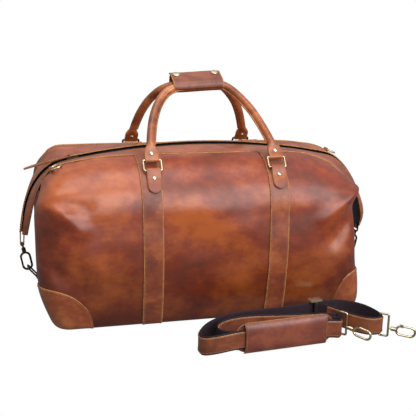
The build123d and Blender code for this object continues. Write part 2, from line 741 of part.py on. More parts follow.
with BuildSketch() as webbing_outline:
    trace(strap_route, line_width=WEBBING)
with BuildPart() as shoulder_strap:
    add(ribbon(webbing_outline.sketch, STRAP_WIDTH))
    with BuildSketch(Plane.XY.offset(BUCKLE_LIFT)):
        with Locations(*loop_bars):
            Circle(LOOP_R + WEBBING)
    extrude(amount=STRAP_WIDTH)
    with BuildSketch():
        with Locations(*loop_bars):
            Circle(LOOP_R)
    extrude(amount=80, mode=Mode.SUBTRACT)
keep(shoulder_strap, "shoulder_strap")

# the leather strip is stitched to the left of the webbing, seen along the route
with BuildSketch() as facing_outline:
    trace(strap_route, line_width=WEBBING + 2 * FACING)
    trace(strap_route, line_width=WEBBING, mode=Mode.SUBTRACT)
left_side = Vector(-(strap_route % 0).Y, (strap_route % 0).X, 0)
facing_start = strap_route @ 0 + left_side * (WEBBING + FACING) / 2
left_strip = facing_outline.faces().sort_by_distance(facing_start)[0]
with BuildPart() as strap_facing:
    add(ribbon(left_strip, FACING_WIDTH))
    with BuildSketch():
        with Locations(*loop_bars):
            Circle(LOOP_R + WEBBING + 0.2)
    extrude(amount=80, mode=Mode.SUBTRACT)
keep(strap_facing, "strap_facing")

STRAP_MIDDLE = BUCKLE_LIFT + STRAP_WIDTH / 2
ADJUSTER_HALF = 11.0
adjuster_plane = Plane(origin=adjust_centre, x_dir=tuple(adjust_dir), z_dir=(0, 0, 1))
end_bar_y = WEBBING / 2 + FACING + RUN_GAP + WIRE_R
with BuildPart() as strap_adjuster:
    for low in (0.6, STRAP_MIDDLE + STRAP_WIDTH / 2 + 0.5):
        with BuildSketch(adjuster_plane.offset(low)):
            with Locations((0, (end_bar_y - BAR_OFF) / 2)):
                width = end_bar_y + BAR_OFF + 2 * WIRE_R
                RectangleRounded(2 * (ADJUSTER_HALF + WIRE_R), width, 2)
        extrude(amount=3.6)
    with BuildSketch(adjuster_plane.offset(0.6)):
        with Locations((-ADJUSTER_HALF, end_bar_y), (ADJUSTER_HALF, end_bar_y), (0, -BAR_OFF)):
            Circle(WIRE_R)
    extrude(amount=STRAP_MIDDLE + STRAP_WIDTH / 2)
keep(strap_adjuster, "strap_adjuster")

# the shoulder pad, a stitched leather sleeve with a longer backing
SLEEVE_HALF = 80.0
BACKING_HALF = 94.0
PAD_SKIN = 2.6
pad_at = (196 - 112, -289 - 112 * 22 / 242)
pad_plane = Plane(origin=(*pad_at, 0), x_dir=(242, 22, 0), z_dir=(0, 0, 1))
pad_front = WEBBING / 2 + FACING + RUN_GAP
pad_back = WEBBING / 2 + RUN_GAP
with BuildPart() as shoulder_pad:
    with BuildSketch(pad_plane):
        with Locations((0, (pad_back - pad_front) / 2)):
            Rectangle(2 * SLEEVE_HALF, pad_front + pad_back + 2 * PAD_SKIN)
    extrude(amount=PAD_HEIGHT)
    with BuildSketch(pad_plane.offset(4)):
        with Locations((0, pad_back + PAD_SKIN / 2)):
            Rectangle(2 * BACKING_HALF, PAD_SKIN)
    extrude(amount=PAD_HEIGHT - 8)
    with BuildSketch(pad_plane.offset(PAD_LIFT - 0.5)):
        with Locations((0, (pad_back - pad_front) / 2)):
            Rectangle(2 * BACKING_HALF, pad_front + pad_back)
    extrude(amount=PAD_HEIGHT - 2 * PAD_LIFT + 1, mode=Mode.SUBTRACT)
keep(shoulder_pad, "shoulder_pad")

# ---- the strap's two snap hooks, each hanging on a loop that swivels ---------------------------
LOOP_REACH = 16.0
LOOP_HEIGHT = STRAP_WIDTH + 6
SHANK_R = 1.9
SHANK_GAP = 5.0
hook_arc = strap_route.edges().filter_by(GeomType.CIRCLE)[HOOK_BEND]
arc_out = ((hook_arc @ 0.5) - hook_arc.arc_center).normalized()
hook_2_bar = (hook_arc @ 0.5) - arc_out * (WEBBING / 2 + RUN_GAP + WIRE_R)
for number, bar, loop_dir, hook_dir in (
    (1, HOOK_1_BAR, (0.62, -0.785, 0), (0.62, -0.77, -0.14)),
    (2, hook_2_bar, (0.80, -0.60, 0), (0.90, -0.42, -0.14)),
):
    outward = Vector(*loop_dir).normalized()
    axis = Vector(*hook_dir).normalized()
    middle = bar + outward * (LOOP_REACH / 2) + Vector(0, 0, STRAP_MIDDLE)
    apex = bar + outward * LOOP_REACH + Vector(0, 0, 18)
    loop_normal = outward.cross(Vector(0, 0, 1))
    frame = hook_frame(apex + axis * SHANK_GAP, tuple(axis), (-axis.Y, axis.X, 0))
    with BuildPart() as hook_loop:
        loop_plane = Plane(origin=middle, x_dir=tuple(outward), z_dir=tuple(loop_normal))
        add(wire_loop(loop_plane, LOOP_REACH, LOOP_HEIGHT, 2.6, WIRE_R))
        with BuildSketch(Plane(origin=apex, z_dir=tuple(axis))):
            Circle(SHANK_R)
        extrude(amount=SHANK_GAP + BARREL_LENGTH - 1.5)
    keep(hook_loop, f"strap_loop_{number}")
    with BuildPart() as strap_hook:
        add(hook_body(frame, SHANK_R + 0.06))
    keep(strap_hook, f"strap_hook_{number}")
    hook_gate(frame, f"strap_gate_{number}")
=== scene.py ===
"""Looks of the weekender bag: leather, zip, hardware and shoulder strap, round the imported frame.

Everything is in the frame's axes.  The shapes below are written in millimetres, and the mesh
helpers turn them into metres.
"""
from math import cos, exp, hypot, pi, radians, sin, sqrt

import bpy
from mathutils import Matrix, Vector, noise


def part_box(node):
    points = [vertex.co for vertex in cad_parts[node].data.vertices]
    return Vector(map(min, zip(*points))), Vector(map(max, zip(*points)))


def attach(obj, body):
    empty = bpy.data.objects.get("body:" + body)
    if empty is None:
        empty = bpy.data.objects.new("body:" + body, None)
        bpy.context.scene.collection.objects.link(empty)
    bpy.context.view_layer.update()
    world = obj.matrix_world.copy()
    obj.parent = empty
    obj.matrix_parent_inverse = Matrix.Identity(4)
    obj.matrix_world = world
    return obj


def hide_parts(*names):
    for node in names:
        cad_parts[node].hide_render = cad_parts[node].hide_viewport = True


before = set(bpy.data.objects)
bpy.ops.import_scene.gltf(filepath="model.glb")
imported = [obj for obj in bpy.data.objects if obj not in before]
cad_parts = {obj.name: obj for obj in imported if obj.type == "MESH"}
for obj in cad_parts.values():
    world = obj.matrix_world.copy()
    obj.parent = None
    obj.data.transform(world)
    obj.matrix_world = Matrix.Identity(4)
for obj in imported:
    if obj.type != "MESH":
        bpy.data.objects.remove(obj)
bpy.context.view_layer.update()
MM = 0.001
SIDES = {"front": -1, "back": 1}
HANDS = {"left": -1, "right": 1}


# ---- curves ----
def smooth_curve(stations, values):
    """A smooth function through values, which may be numbers or vectors, at rising stations."""
    last = len(values) - 1
    tangents = []
    for i in range(last + 1):
        before, after = max(i - 1, 0), min(i + 1, last)
        tangents.append((values[after] - values[before]) / (stations[after] - stations[before]))

    def at(t):
        t = min(max(t, stations[0]), stations[-1])
        i = 0
        while i < len(stations) - 2 and t > stations[i + 1]:
            i += 1
        step = stations[i + 1] - stations[i]
        s = (t - stations[i]) / step
        return (values[i] * (2 * s**3 - 3 * s**2 + 1) + tangents[i] * (step * (s**3 - 2 * s**2 + s))
                + values[i + 1] * (3 * s**2 - 2 * s**3) + tangents[i + 1] * (step * (s**3 - s**2)))

    return at


def profile(pairs):
    """A smooth function through (station, value) pairs."""
    return smooth_curve([p[0] for p in pairs], [p[1] for p in pairs])


def spread(low, high, count):
    """Evenly spaced numbers from low to high."""
    return [low + (high - low) * i / (count - 1) for i in range(count)]


def ease(t):
    """0 to 1 with flat ends."""
    t = min(max(t, 0.0), 1.0)
    return t * t * (3 - 2 * t)


def distances(path):
    """How far along a path each of its points is."""
    found = [0.0]
    for before, after in zip(path, path[1:]):
        found.append(found[-1] + (after - before).length)
    return found


def toward(angle):
    """The unit vector across and up at an angle in degrees."""
    return Vector((cos(radians(angle)), sin(radians(angle))))


# ---- meshes ----
def add_object(name, data):
    """A new object in the scene."""
    obj = bpy.data.objects.new(name, data)
    bpy.context.scene.collection.objects.link(obj)
    return obj


def mesh_object(name, points, faces, materials):
    """An object from points in millimetres."""
    mesh = bpy.data.meshes.new(name)
    mesh.from_pydata([Vector(p) * MM for p in points], [], faces)
    for material in materials:
        mesh.materials.append(material)
    mesh.polygons.foreach_set("use_smooth", [True] * len(mesh.polygons))
    mesh.update()
    return add_object(name, mesh)


def edged(low, high, count, rim=1.1):
    """Evenly spaced numbers with a narrow step at each end, for a cut edge."""
    return [low, *spread(low + rim, high - rim, count - 2), high]


def sheet_object(name, rows, materials, thickness, flip=False, grow=-1, closed=False, round_off=1,
                 rims=""):
    """A sheet of leather or cloth through rows of points.  Its cut edge takes the last material.

    grow is -1 for a thickness that lies inside the rows, and 0 for one on both sides of them.
    rims names the sides whose outermost faces are cut edge too: first or last, row or column.
    """
    count = len(rows[0])
    columns = count if closed else count - 1
    faces = []
    for i in range(len(rows) - 1):
        for j in range(columns):
            k = (j + 1) % count
            face = [i * count + j, i * count + k, (i + 1) * count + k, (i + 1) * count + j]
            faces.append(face[::-1] if flip else face)
    obj = mesh_object(name, [p for row in rows for p in row], faces, materials)
    for polygon in obj.data.polygons:
        row, column = divmod(polygon.index, columns)
        if (("first row" in rims and row == 0) or ("last row" in rims and row == len(rows) - 2)
                or ("first column" in rims and column == 0)
                or ("last column" in rims and column == columns - 1)):
            polygon.material_index = len(materials) - 1
    layer = obj.data.uv_layers.new(name="UVMap")
    for polygon in obj.data.polygons:
        for loop in polygon.loop_indices:
            vertex = obj.data.loops[loop].vertex_index
            layer.data[loop].uv = (vertex % count / count, vertex // count / len(rows))
    if thickness:
        solid = obj.modifiers.new("thickness", "SOLIDIFY")
        solid.thickness = thickness * MM
        solid.offset = grow
        solid.use_even_offset = False
        solid.material_offset_rim = len(materials) - 1
    if round_off:
        soft = obj.modifiers.new("round", "SUBSURF")
        soft.levels = soft.render_levels = round_off
    return obj


def tangents_along(path):
    """Unit vectors along a path, one at each point."""
    last = len(path) - 1
    return [(path[min(i + 1, last)] - path[max(i - 1, 0)]).normalized() for i in range(last + 1)]


def ring_faces(rings, sides):
    """Faces that join rings of points one after another, with both ends closed."""
    faces = [[i * sides + k, i * sides + (k + 1) % sides, (i + 1) * sides + (k + 1) % sides,
              (i + 1) * sides + k] for i in range(rings - 1) for k in range(sides)]
    return faces + [list(range(sides))[::-1], [(rings - 1) * sides + k for k in range(sides)]]


def ring(centre, across, up, width, height, sides, start=0.0):
    """Points round an oval in the plane of two unit vectors, from a start angle."""
    turns = [2 * pi * k / sides + start for k in range(sides)]
    return [centre + across * (width * cos(t)) + up * (height * sin(t)) for t in turns]


TUBE_SIDES = 10


def tube(name, path, radius, materials):
    """A round cord of leather along a path."""
    tangents = tangents_along(path)
    side = tangents[0].orthogonal().normalized()
    points = []
    for centre, tangent in zip(path, tangents):
        side = (side - tangent * side.dot(tangent)).normalized()
        points += ring(centre, side, tangent.cross(side), radius, radius, TUBE_SIDES)
    return mesh_object(name, points, ring_faces(len(path), TUBE_SIDES), materials)


def joined(name, shapes, materials):
    """One object from several (points, faces) shapes."""
    points, faces = [], []
    for shape_points, shape_faces in shapes:
        start = len(points)
        points += shape_points
        faces += [[start + i for i in face] for face in shape_faces]
    return mesh_object(name, points, faces, materials)


TURNED_SIDES = 28


def turned(outline, base, axis):
    """A turned shape: (radius, height) pairs spun round an axis."""
    axis = Vector(axis).normalized()
    side = axis.orthogonal().normalized()
    up = axis.cross(side)
    points = []
    for radius, height in outline:
        points += ring(Vector(base) + axis * height, side, up, radius, radius, TURNED_SIDES)
    return points, ring_faces(len(outline), TURNED_SIDES)


STITCH = 3.4
STITCH_PITCH = 4.6
STITCH_R = 0.5


def stitch_row(run, pitch=STITCH_PITCH, across=False):
    """Stitches along a run of (point, outward normal) pairs, or each of them across it."""
    shapes = []
    travelled, due = 0.0, pitch / 2
    for (point, normal), (after, _) in zip(run, run[1:]):
        step = (after - point).length
        while step > 0 and due <= travelled + step:
            along = (after - point) / step
            centre = point + along * (due - travelled)
            out = (normal - along * normal.dot(along)).normalized()
            side = along.cross(out)
            if across:
                along, side = side, along
            points = []
            for reach, size in ((-0.5, 0.35), (-0.28, 1.0), (0.28, 1.0), (0.5, 0.35)):
                points += ring(centre + along * (reach * STITCH), side, out, STITCH_R * 1.3 * size,
                               STITCH_R * size, 4, pi / 4)
            shapes.append((points, ring_faces(4, 4)))
            due += pitch
        travelled += step
    return shapes


# ---- materials ----
def set_node(made, **values):
    """Set a node's own settings and the values of its inputs."""
    for key, value in values.items():
        if hasattr(made, key):
            setattr(made, key, value)
        else:
            made.inputs[key.replace("_", " ")].default_value = value


def node(tree, kind, links=(), **values):
    """A node with its settings, and links from other nodes' sockets to its inputs."""
    made = tree.nodes.new(kind)
    set_node(made, **values)
    for name, socket in links:
        tree.links.new(socket, made.inputs[name])
    return made


def ramp(tree, factor, stops):
    """A colour ramp on a factor."""
    made = tree.nodes.new("ShaderNodeValToRGB")
    elements = made.color_ramp.elements
    while len(elements) < len(stops):
        elements.new(0.5)
    for element, (place, colour) in zip(elements, stops):
        element.position = place
        element.color = (*colour, 1)
    tree.links.new(factor, made.inputs["Fac"])
    return made.outputs["Color"]


def start_material(name):
    """A material and its node tree, which holds the shader."""
    material = bpy.data.materials.new(name)
    material.use_nodes = True
    return material, material.node_tree


def end_material(material, colour, height, strength, distance, **values):
    """Wire a material's colour and bump to its shader, and set the rest of the shader."""
    tree = material.node_tree
    shader = tree.nodes["Principled BSDF"]
    bump = node(tree, "ShaderNodeBump", [("Height", height)], Strength=strength, Distance=distance)
    tree.links.new(colour, shader.inputs["Base Color"])
    tree.links.new(bump.outputs["Normal"], shader.inputs["Normal"])
    set_node(shader, **values)
    return material


def object_place(tree, stretch=(1, 1, 1)):
    """Coordinates of the surface in the piece's own frame."""
    place = node(tree, "ShaderNodeTexCoord")
    return node(tree, "ShaderNodeMapping", [("Vector", place.outputs["Object"])],
                Scale=stretch).outputs["Vector"]


def mixed(tree, first, second, share):
    """A weighted sum of two factors."""
    part = node(tree, "ShaderNodeMath", [(0, second)], operation="MULTIPLY")
    part.inputs[1].default_value = share
    whole = node(tree, "ShaderNodeMath", [(0, first), (2, part.outputs[0])],
                 operation="MULTIPLY_ADD")
    whole.inputs[1].default_value = 1 - share
    return whole.outputs[0]


def leather(name, dark, middle, light, cloud=9.0, gloss=0.4, shade=0.0):
    """Waxed pull-up leather: cloudy colour, fine grain, and a soft polish on top.

    shade paints shade into its colour: darker towards the floor, where less light reaches the bag.
    """
    material, tree = start_material(name)
    place = object_place(tree, (1, 1, 1.35))
    clouds = node(tree, "ShaderNodeTexNoise", [("Vector", place)], Scale=cloud, Detail=3.0,
                  Roughness=0.5, Distortion=0.6)
    marks = node(tree, "ShaderNodeTexNoise", [("Vector", place)], Scale=cloud * 7, Detail=5.0,
                 Roughness=0.65)
    tone = mixed(tree, clouds.outputs["Fac"], marks.outputs["Fac"], 0.27)
    colour = ramp(tree, tone, [(0.34, dark), (0.5, middle), (0.64, light)])
    # painted shade: the colour is multiplied darker towards the floor
    if shade:
        height = node(tree, "ShaderNodeSeparateXYZ",
                      [("Vector", node(tree, "ShaderNodeTexCoord").outputs["Object"])])
        band = node(tree, "ShaderNodeMapRange", [("Value", height.outputs["Z"])],
                    interpolation_type="SMOOTHSTEP", From_Max=0.24, To_Min=1 - shade)
        shaded_colour = node(tree, "ShaderNodeMix", [("A", colour), ("B", band.outputs[0])],
                    data_type="RGBA", blend_type="MULTIPLY", Factor=1)
        colour = shaded_colour.outputs["Result"]
    grain = node(tree, "ShaderNodeTexVoronoi", [("Vector", place)], Scale=620.0)
    pores = node(tree, "ShaderNodeTexNoise", [("Vector", place)], Scale=260.0, Detail=3.0)
    height = mixed(tree, grain.outputs["Distance"], pores.outputs["Fac"], 0.5)
    polish = node(tree, "ShaderNodeMapRange", [("Value", tone)], From_Min=0.35, From_Max=0.65,
                  To_Min=gloss + 0.08, To_Max=gloss - 0.05)
    tree.links.new(polish.outputs[0], tree.nodes["Principled BSDF"].inputs["Roughness"])
    return end_material(material, colour, height, 0.2, 0.0004, Coat_Weight=0.12, Coat_Roughness=0.3)


def plain(name, dark, light, scale, roughness, metal=0.0, shine=0.5):
    """A simple uneven surface, such as a cut edge, thread or metal."""
    material, tree = start_material(name)
    spots = node(tree, "ShaderNodeTexNoise", [("Vector", object_place(tree))], Scale=scale,
                 Detail=4.0, Roughness=0.6)
    colour = ramp(tree, spots.outputs["Fac"], [(0.35, dark), (0.65, light)])
    return end_material(material, colour, spots.outputs["Fac"], 0.3, 0.0003, Roughness=roughness,
                        Metallic=metal, Specular_IOR_Level=shine)


def woven(name, dark, light, pitch, shine=0.5):
    """Cloth with a twill weave, its ribs along both diagonals."""
    material, tree = start_material(name)
    place = object_place(tree)
    ribs = []
    for turn in (radians(45), radians(-45)):
        turned_place = node(tree, "ShaderNodeMapping", [("Vector", place)],
                            Rotation=(turn, turn, turn))
        ribs.append(node(tree, "ShaderNodeTexWave", [("Vector", turned_place.outputs[0])],
                         Scale=1 / pitch, Distortion=0.4).outputs["Fac"])
    weave = mixed(tree, ribs[0], ribs[1], 0.5)
    spots = node(tree, "ShaderNodeTexNoise", [("Vector", place)], Scale=90.0, Detail=3.0)
    tone = mixed(tree, weave, spots.outputs["Fac"], 0.4)
    return end_material(material, ramp(tree, tone, [(0.3, dark), (0.7, light)]), weave, 0.6, 0.0004,
                        Roughness=0.85, Specular_IOR_Level=shine)


# the shade setting paints shade into these leathers, darker towards the floor
body_leather = leather("body leather", (0.085, 0.011, 0.004), (0.225, 0.034, 0.009),
                       (0.4, 0.09, 0.017), cloud=7.5, gloss=0.36, shade=0.55)
trim_leather = leather("trim leather", (0.12, 0.02, 0.009), (0.23, 0.048, 0.018),
                       (0.37, 0.1, 0.03), cloud=14.0, shade=0.25)
patch_leather = leather("patch leather", (0.15, 0.027, 0.009), (0.27, 0.06, 0.019),
                        (0.4, 0.125, 0.034), cloud=14.0, shade=0.1)
top_leather = leather("top leather", (0.15, 0.034, 0.016), (0.27, 0.067, 0.031),
                      (0.38, 0.106, 0.044), cloud=14.0)
handle_leather = leather("handle leather", (0.15, 0.032, 0.009), (0.3, 0.08, 0.021),
                         (0.48, 0.16, 0.045), cloud=20.0, gloss=0.3)
grip_leather = leather("grip leather", (0.12, 0.028, 0.013), (0.2, 0.05, 0.022),
                       (0.27, 0.075, 0.032), cloud=22.0, gloss=0.38)
pad_leather = leather("pad leather", (0.09, 0.02, 0.012), (0.155, 0.036, 0.022),
                      (0.23, 0.06, 0.03), cloud=18.0)
strap_leather = leather("strap leather", (0.1, 0.022, 0.009), (0.17, 0.042, 0.015),
                        (0.26, 0.075, 0.026), cloud=24.0, gloss=0.42)
wing_cloth = woven("wing lining", (0.006, 0.005, 0.007), (0.024, 0.02, 0.024), 0.0015, 0.15)
cut_edge = plain("cut edge", (0.24, 0.09, 0.022), (0.46, 0.2, 0.06), 160, 0.6)
thread = plain("thread", (0.2, 0.085, 0.04), (0.34, 0.16, 0.08), 500, 0.7)
brass = plain("antique brass", (0.42, 0.34, 0.21), (0.66, 0.55, 0.37), 40, 0.25, 1.0)
# painted shade: a darker copy of the brass for the fittings at the back and the ends; the zip slider
# takes it too
dark_and_shaded_brass = plain("dark and shaded brass", (0.05, 0.04, 0.028), (0.12, 0.095, 0.062), 60, 0.32, 1.0)
snap_brass = plain("snap brass", (0.55, 0.47, 0.31), (0.76, 0.68, 0.48), 60, 0.38, 1.0)
nickel = plain("rivet metal", (0.6, 0.55, 0.44), (0.82, 0.78, 0.66), 60, 0.36, 1.0)
zip_cloth = woven("zip tape", (0.006, 0.005, 0.008), (0.018, 0.015, 0.021), 0.0016, 0.08)
zip_nylon = plain("zip nylon", (0.006, 0.006, 0.008), (0.02, 0.018, 0.024), 300, 0.6, shine=0.12)
webbing = woven("webbing", (0.011, 0.005, 0.009), (0.03, 0.016, 0.023), 0.002, 0.3)
lining_cloth = woven("lining cloth", (0.12, 0.09, 0.06), (0.22, 0.17, 0.12), 0.0015)
board_sheet = plain("board", (0.02, 0.02, 0.02), (0.05, 0.05, 0.05), 80, 0.5)


def place_piece(obj, body, slot, *nodes):
    """Give a piece its body, and hide the CAD nodes that it stands for.  slot is not used."""
    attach(obj, body)
    if nodes:
        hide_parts(*nodes)
    return obj


def sheet_piece(place, name, rows, materials, thickness, **shape):
    """A sheet that is a piece: place is its body, its slot and the CAD nodes it stands for."""
    return place_piece(sheet_object(name, rows, materials, thickness, **shape), *place)


def pair_node(name, hand):
    """The CAD node that holds a left and a right piece, as the left one stands for it."""
    return [name] if hand < 0 else []


# ---- camera and light ----
camera_data = bpy.data.cameras.new("camera")
camera_data.angle = radians(28.78)
camera = add_object("camera", camera_data)
camera.matrix_world = (Matrix.Translation((-0.403, -1.535, 0.589))
                       @ Matrix.Rotation(radians(-15.39), 4, "Z")
                       @ Matrix.Rotation(radians(90 - 14.31), 4, "X")
                       @ Matrix.Rotation(radians(1.39), 4, "Z"))
bpy.context.scene.camera = camera

BAG_MIDDLE = Vector((0, 0, 0.2))


def add_light(name, place, size, power, colour):
    """A soft square light that faces the bag, all in metres and watts."""
    data = bpy.data.lights.new(name, "AREA")
    data.size = size
    data.energy = power
    data.color = colour
    light = add_object(name, data)
    light.location = place
    light.rotation_euler = (BAG_MIDDLE - Vector(place)).to_track_quat("-Z", "Y").to_euler()


add_light("top light", (-0.2, -0.5, 2.2), 1.6, 23, (1, 0.98, 0.97))
add_light("front light", (0.7, -2.6, 1.5), 2.0, 61, (1, 0.98, 0.97))
add_light("right light", (1.9, -1.6, 1.2), 0.7, 17, (0.98, 0.98, 1))

world = bpy.data.worlds.new("studio")
world.use_nodes = True
sky = world.node_tree
sky_place = node(sky, "ShaderNodeSeparateXYZ",
                 [("Vector", node(sky, "ShaderNodeTexCoord").outputs["Generated"])])
sky_tone = ramp(sky, sky_place.outputs["Z"], [(0.0, (0.25, 0.25, 0.25)), (0.85, (0.8, 0.8, 0.8))])
seen_by_camera = node(sky, "ShaderNodeLightPath").outputs["Is Camera Ray"]
sky_seen = node(sky, "ShaderNodeMix", [("Factor", seen_by_camera), ("A", sky_tone)],
                data_type="RGBA", B=(1, 1, 1, 1))
sky.links.new(sky_seen.outputs["Result"], sky.nodes["Background"].inputs["Color"])
bpy.context.scene.world = world
bpy.context.scene.view_settings.view_transform = "Standard"

# ---- the bag's soft shape ----
SHOULDER_Y, SHOULDER_Z, SHOULDER_R = 56.0, 208.0, 100.0
SEAM_HALF = 61.2  # from the zip to the seam between the facing and the panel
SEAM_TOP = 308.0  # that seam's height in the middle
ZIP_Z, ZIP_RADIUS, ARC_HALF = 317.0, 1314.0, 264.0
LEATHER = 2.2


def zip_z(x):
    """Height of the zip line at x, on the long top arc."""
    return ZIP_Z - ZIP_RADIUS + sqrt(ZIP_RADIUS**2 - x**2)


def on_shoulder(angle, radius):
    """A point over the shoulder, out and up, at an angle above the horizontal."""
    return Vector((SHOULDER_Y + radius * cos(radians(angle)),
                   SHOULDER_Z + radius * sin(radians(angle))))


def section_points():
    """A side's outline across the depth: out along the base, up the wall, over the shoulder."""
    points = [Vector((out, 0)) for out in (110, 118, 126, 133)]
    points += [Vector((137 + 9.5 * sin(t), 10 - 10 * cos(t))) for t in spread(0, pi / 2, 7)]
    wall = profile([(10, 146.5), (60, 157.2), (110, 161), (160, 160.2), (208, 156)])
    points += [Vector((wall(z), z)) for z in spread(18, 200, 20)]
    return points + [on_shoulder(angle, SHOULDER_R) for angle in spread(0, 87, 24)]


outline = section_points()
reach = distances(outline)
section = smooth_curve([r / reach[-1] for r in reach], outline)

# the top strips, station by station from a wing's tip to the middle: the zip line's (x, z), and
# each strip's outer edge as (x, distance from the zip line, z)
zip_halves = {
    -1: [(350.5, 148), (348, 167), (345, 185), (341, 204), (334, 226), (324, 246), (311, 263.5),
         (296, 276.5), (280, 285.5), (ARC_HALF, zip_z(ARC_HALF))],
    1: [(354, 133), (361, 152), (360, 173), (351, 198), (339, 223), (327, 244), (312, 262.5),
        (296, 276.5), (280, 285.5), (ARC_HALF, zip_z(ARC_HALF))],
}
zip_line = [Vector((-x, 0, z)) for x, z in zip_halves[-1]]
zip_line += [Vector((x, 0, zip_z(x))) for x in (-235, -190, -120, -40, 40, 120, 190, 235)]
zip_line += [Vector((x, 0, z)) for x, z in zip_halves[1][::-1]]
middle = [(120, 61, 308), (40, 61, 308)]
edge_halves = {
    ("front", -1): [(342, 15, 148), (338, 21, 169), (334, 27, 190), (330, 34, 211), (325, 42, 232),
                    (319, 47, 249), (311, 51, 265), (300, 54, 280), (283, 57, 291), (265, 59, 296),
                    (235, 60.5, 301.5), (190, 61, 306)] + middle,
    ("front", 1): [(350, 15, 133), (351, 21, 152), (345, 28, 172), (337, 34, 192), (329, 40, 207),
                   (322, 45, 219), (314, 51, 229), (301, 55, 241), (283, 58, 256.5), (262, 60, 274),
                   (235, 61, 289.5), (190, 61, 303.5)] + middle,
    ("back", -1): [(350.5, 15, 148), (349, 21, 167), (345, 27, 187), (339, 34, 211), (330, 43, 237),
                   (319, 48, 260), (306, 52, 281), (295, 55, 298), (284, 58, 304.5),
                   (272, 60, 307.5), (238, 61, 308), (190, 61, 308.5)] + middle,
    ("back", 1): [(354, 15, 133), (362, 22, 152), (359, 29, 174), (350, 35, 198), (338, 41, 219),
                  (326, 47, 238), (315, 53, 256), (302, 56, 274), (287, 59, 288), (265, 60.5, 297),
                  (235, 61, 302), (190, 61, 307)] + middle,
}
STATIONS = list(range(len(zip_line)))
zip_curve = smooth_curve(STATIONS, zip_line)
edge_curves, seam_half, seam_height = {}, {}, {}
for side_name, side in SIDES.items():
    line = [Vector((-x, side * y, z)) for x, y, z in edge_halves[side_name, -1]]
    line += [Vector((x, side * y, z)) for x, y, z in edge_halves[side_name, 1][::-1]]
    edge_curves[side_name] = smooth_curve(STATIONS, line)
    seam_half[side_name] = profile([(p.x, abs(p.y)) for p in line])
    seam_height[side_name] = profile([(p.x, p.z) for p in line])

# how far each end stands out, by height on the outline: (height, distance from the middle)
end_reach = {
    ("front", -1): profile([(0, 296), (15, 305), (69, 325), (107, 330), (177, 331), (208, 331),
                            (240, 329), (270, 326), (295, 319), (308, 314)]),
    ("front", 1): profile([(0, 291), (16, 297), (56, 294), (115, 287), (154, 284), (193, 281),
                           (208, 281), (240, 285), (270, 293), (295, 299), (308, 301)]),
    ("back", -1): profile([(0, 296), (15, 303), (69, 314), (110, 318), (177, 320), (250, 320),
                           (290, 318), (308, 316)]),
    ("back", 1): profile([(0, 294), (16, 300), (56, 303), (115, 303), (154, 303), (208, 305),
                          (250, 311), (308, 316)]),
}
# along the outline
FLAT_HALF = 230.0  # the middle of each side, where a point keeps its x
TURN_START = 270.0  # the vertical corner starts here
TURN_END = 330.0  # and ends here, at the seam with the end panel
CORNER_R = 40.0
SLUMPED_CORNER_R = 60.0  # the front's left corner
FOOT_CORNER_R = 26.0  # every corner, at the floor
CORNER_TOP_R = 5.0  # and at the seam under the wing

# folds in the soft leather: from and to (x, height on the outline), half width, height
folds = {
    "front": [((-330, 262), (-250, 190), 13, 7.0), ((-330, 225), (-292, 110), 15, -8.0),
              ((-326, 250), (-240, 235), 12, -5.0), ((-262, 190), (-225, 105), 24, 3.5),
              ((-300, 120), (-230, 60), 20, -3.5), ((300, 262), (205, 190), 15, 7.0),
              ((298, 238), (225, 150), 17, -7.0), ((282, 140), (190, 60), 24, 3.5),
              ((-70, 225), (60, 190), 36, 2.5), ((-60, 170), (70, 120), 34, -2.5),
              ((-210, 80), (-150, 50), 26, -2.5), ((30, 60), (95, 110), 24, 2.0)],
    "back": [((-312, 300), (-230, 190), 18, 5.0), ((-300, 240), (-240, 150), 20, -5.0),
             ((310, 300), (235, 200), 18, 5.0), ((306, 240), (250, 150), 20, -5.0),
             ((-60, 215), (50, 170), 36, 2.5)],
}


def softness(side_name, x, height):
    """How far the leather stands off its even shape, in folds and slow waves."""
    off = 0.0
    for start, end, half_width, size in folds[side_name]:
        run = Vector(end) - Vector(start)
        share = (Vector((x, height)) - Vector(start)).dot(run) / run.length_squared
        nearest = Vector(start) + run * min(max(share, 0), 1)
        away = hypot(x - nearest.x, height - nearest.y)
        off += size * exp(-((away / half_width) ** 2)) * ease(1.5 - abs(share - 0.5) * 1.6)
    seed = 3.7 * SIDES[side_name]
    off += 2.2 * noise.noise(Vector((x / 95, height / 80, seed)))
    off += 0.8 * noise.noise(Vector((x / 38, height / 34, seed + 5)))
    # still where the handles are sewn on
    hold = max(exp(-((abs(x) - 119) / 34) ** 2) * ease((height - 215) / 30), ease((25 - height) / 20))
    return off * (1 - hold)


def skin(side_name, along, v):
    """The outer surface of the front or back, along its outline and up its section from 0 to 1."""
    side = SIDES[side_name]
    out, height = section(v)
    slope = section(min(v + 0.004, 1)) - section(max(v - 0.004, 0))
    outward = Vector((slope.y, -slope.x)).normalized()
    rise = max((height - SHOULDER_Z) / SHOULDER_R, 0) ** 1.4
    hand = -1 if along < 0 else 1
    end = end_reach[side_name, hand](height)
    wall_radius = SLUMPED_CORNER_R if (side_name, hand) == ("front", -1) else CORNER_R
    base_radius = FOOT_CORNER_R + (wall_radius - FOOT_CORNER_R) * ease(height / 130)
    radius = base_radius + (CORNER_TOP_R - base_radius) * rise
    far = abs(along)
    inset = 0.0
    if far <= FLAT_HALF:
        x = far
    elif far <= TURN_START:
        share = (far - FLAT_HALF) / (TURN_START - FLAT_HALF)
        x = FLAT_HALF + share * (end - radius - FLAT_HALF)
    else:
        turn = (far - TURN_START) / (TURN_END - TURN_START) * pi / 2
        x = end - radius + radius * sin(turn)
        inset = radius * (1 - cos(turn))
    x *= hand
    soft = softness(side_name, x, height)
    y = out - inset - (SEAM_HALF - seam_half[side_name](x)) * rise + soft * outward.x
    z = height + (seam_height[side_name](x) - SEAM_TOP) * rise + soft * outward.y
    return Vector((x, side * y, max(z, 0.2)))


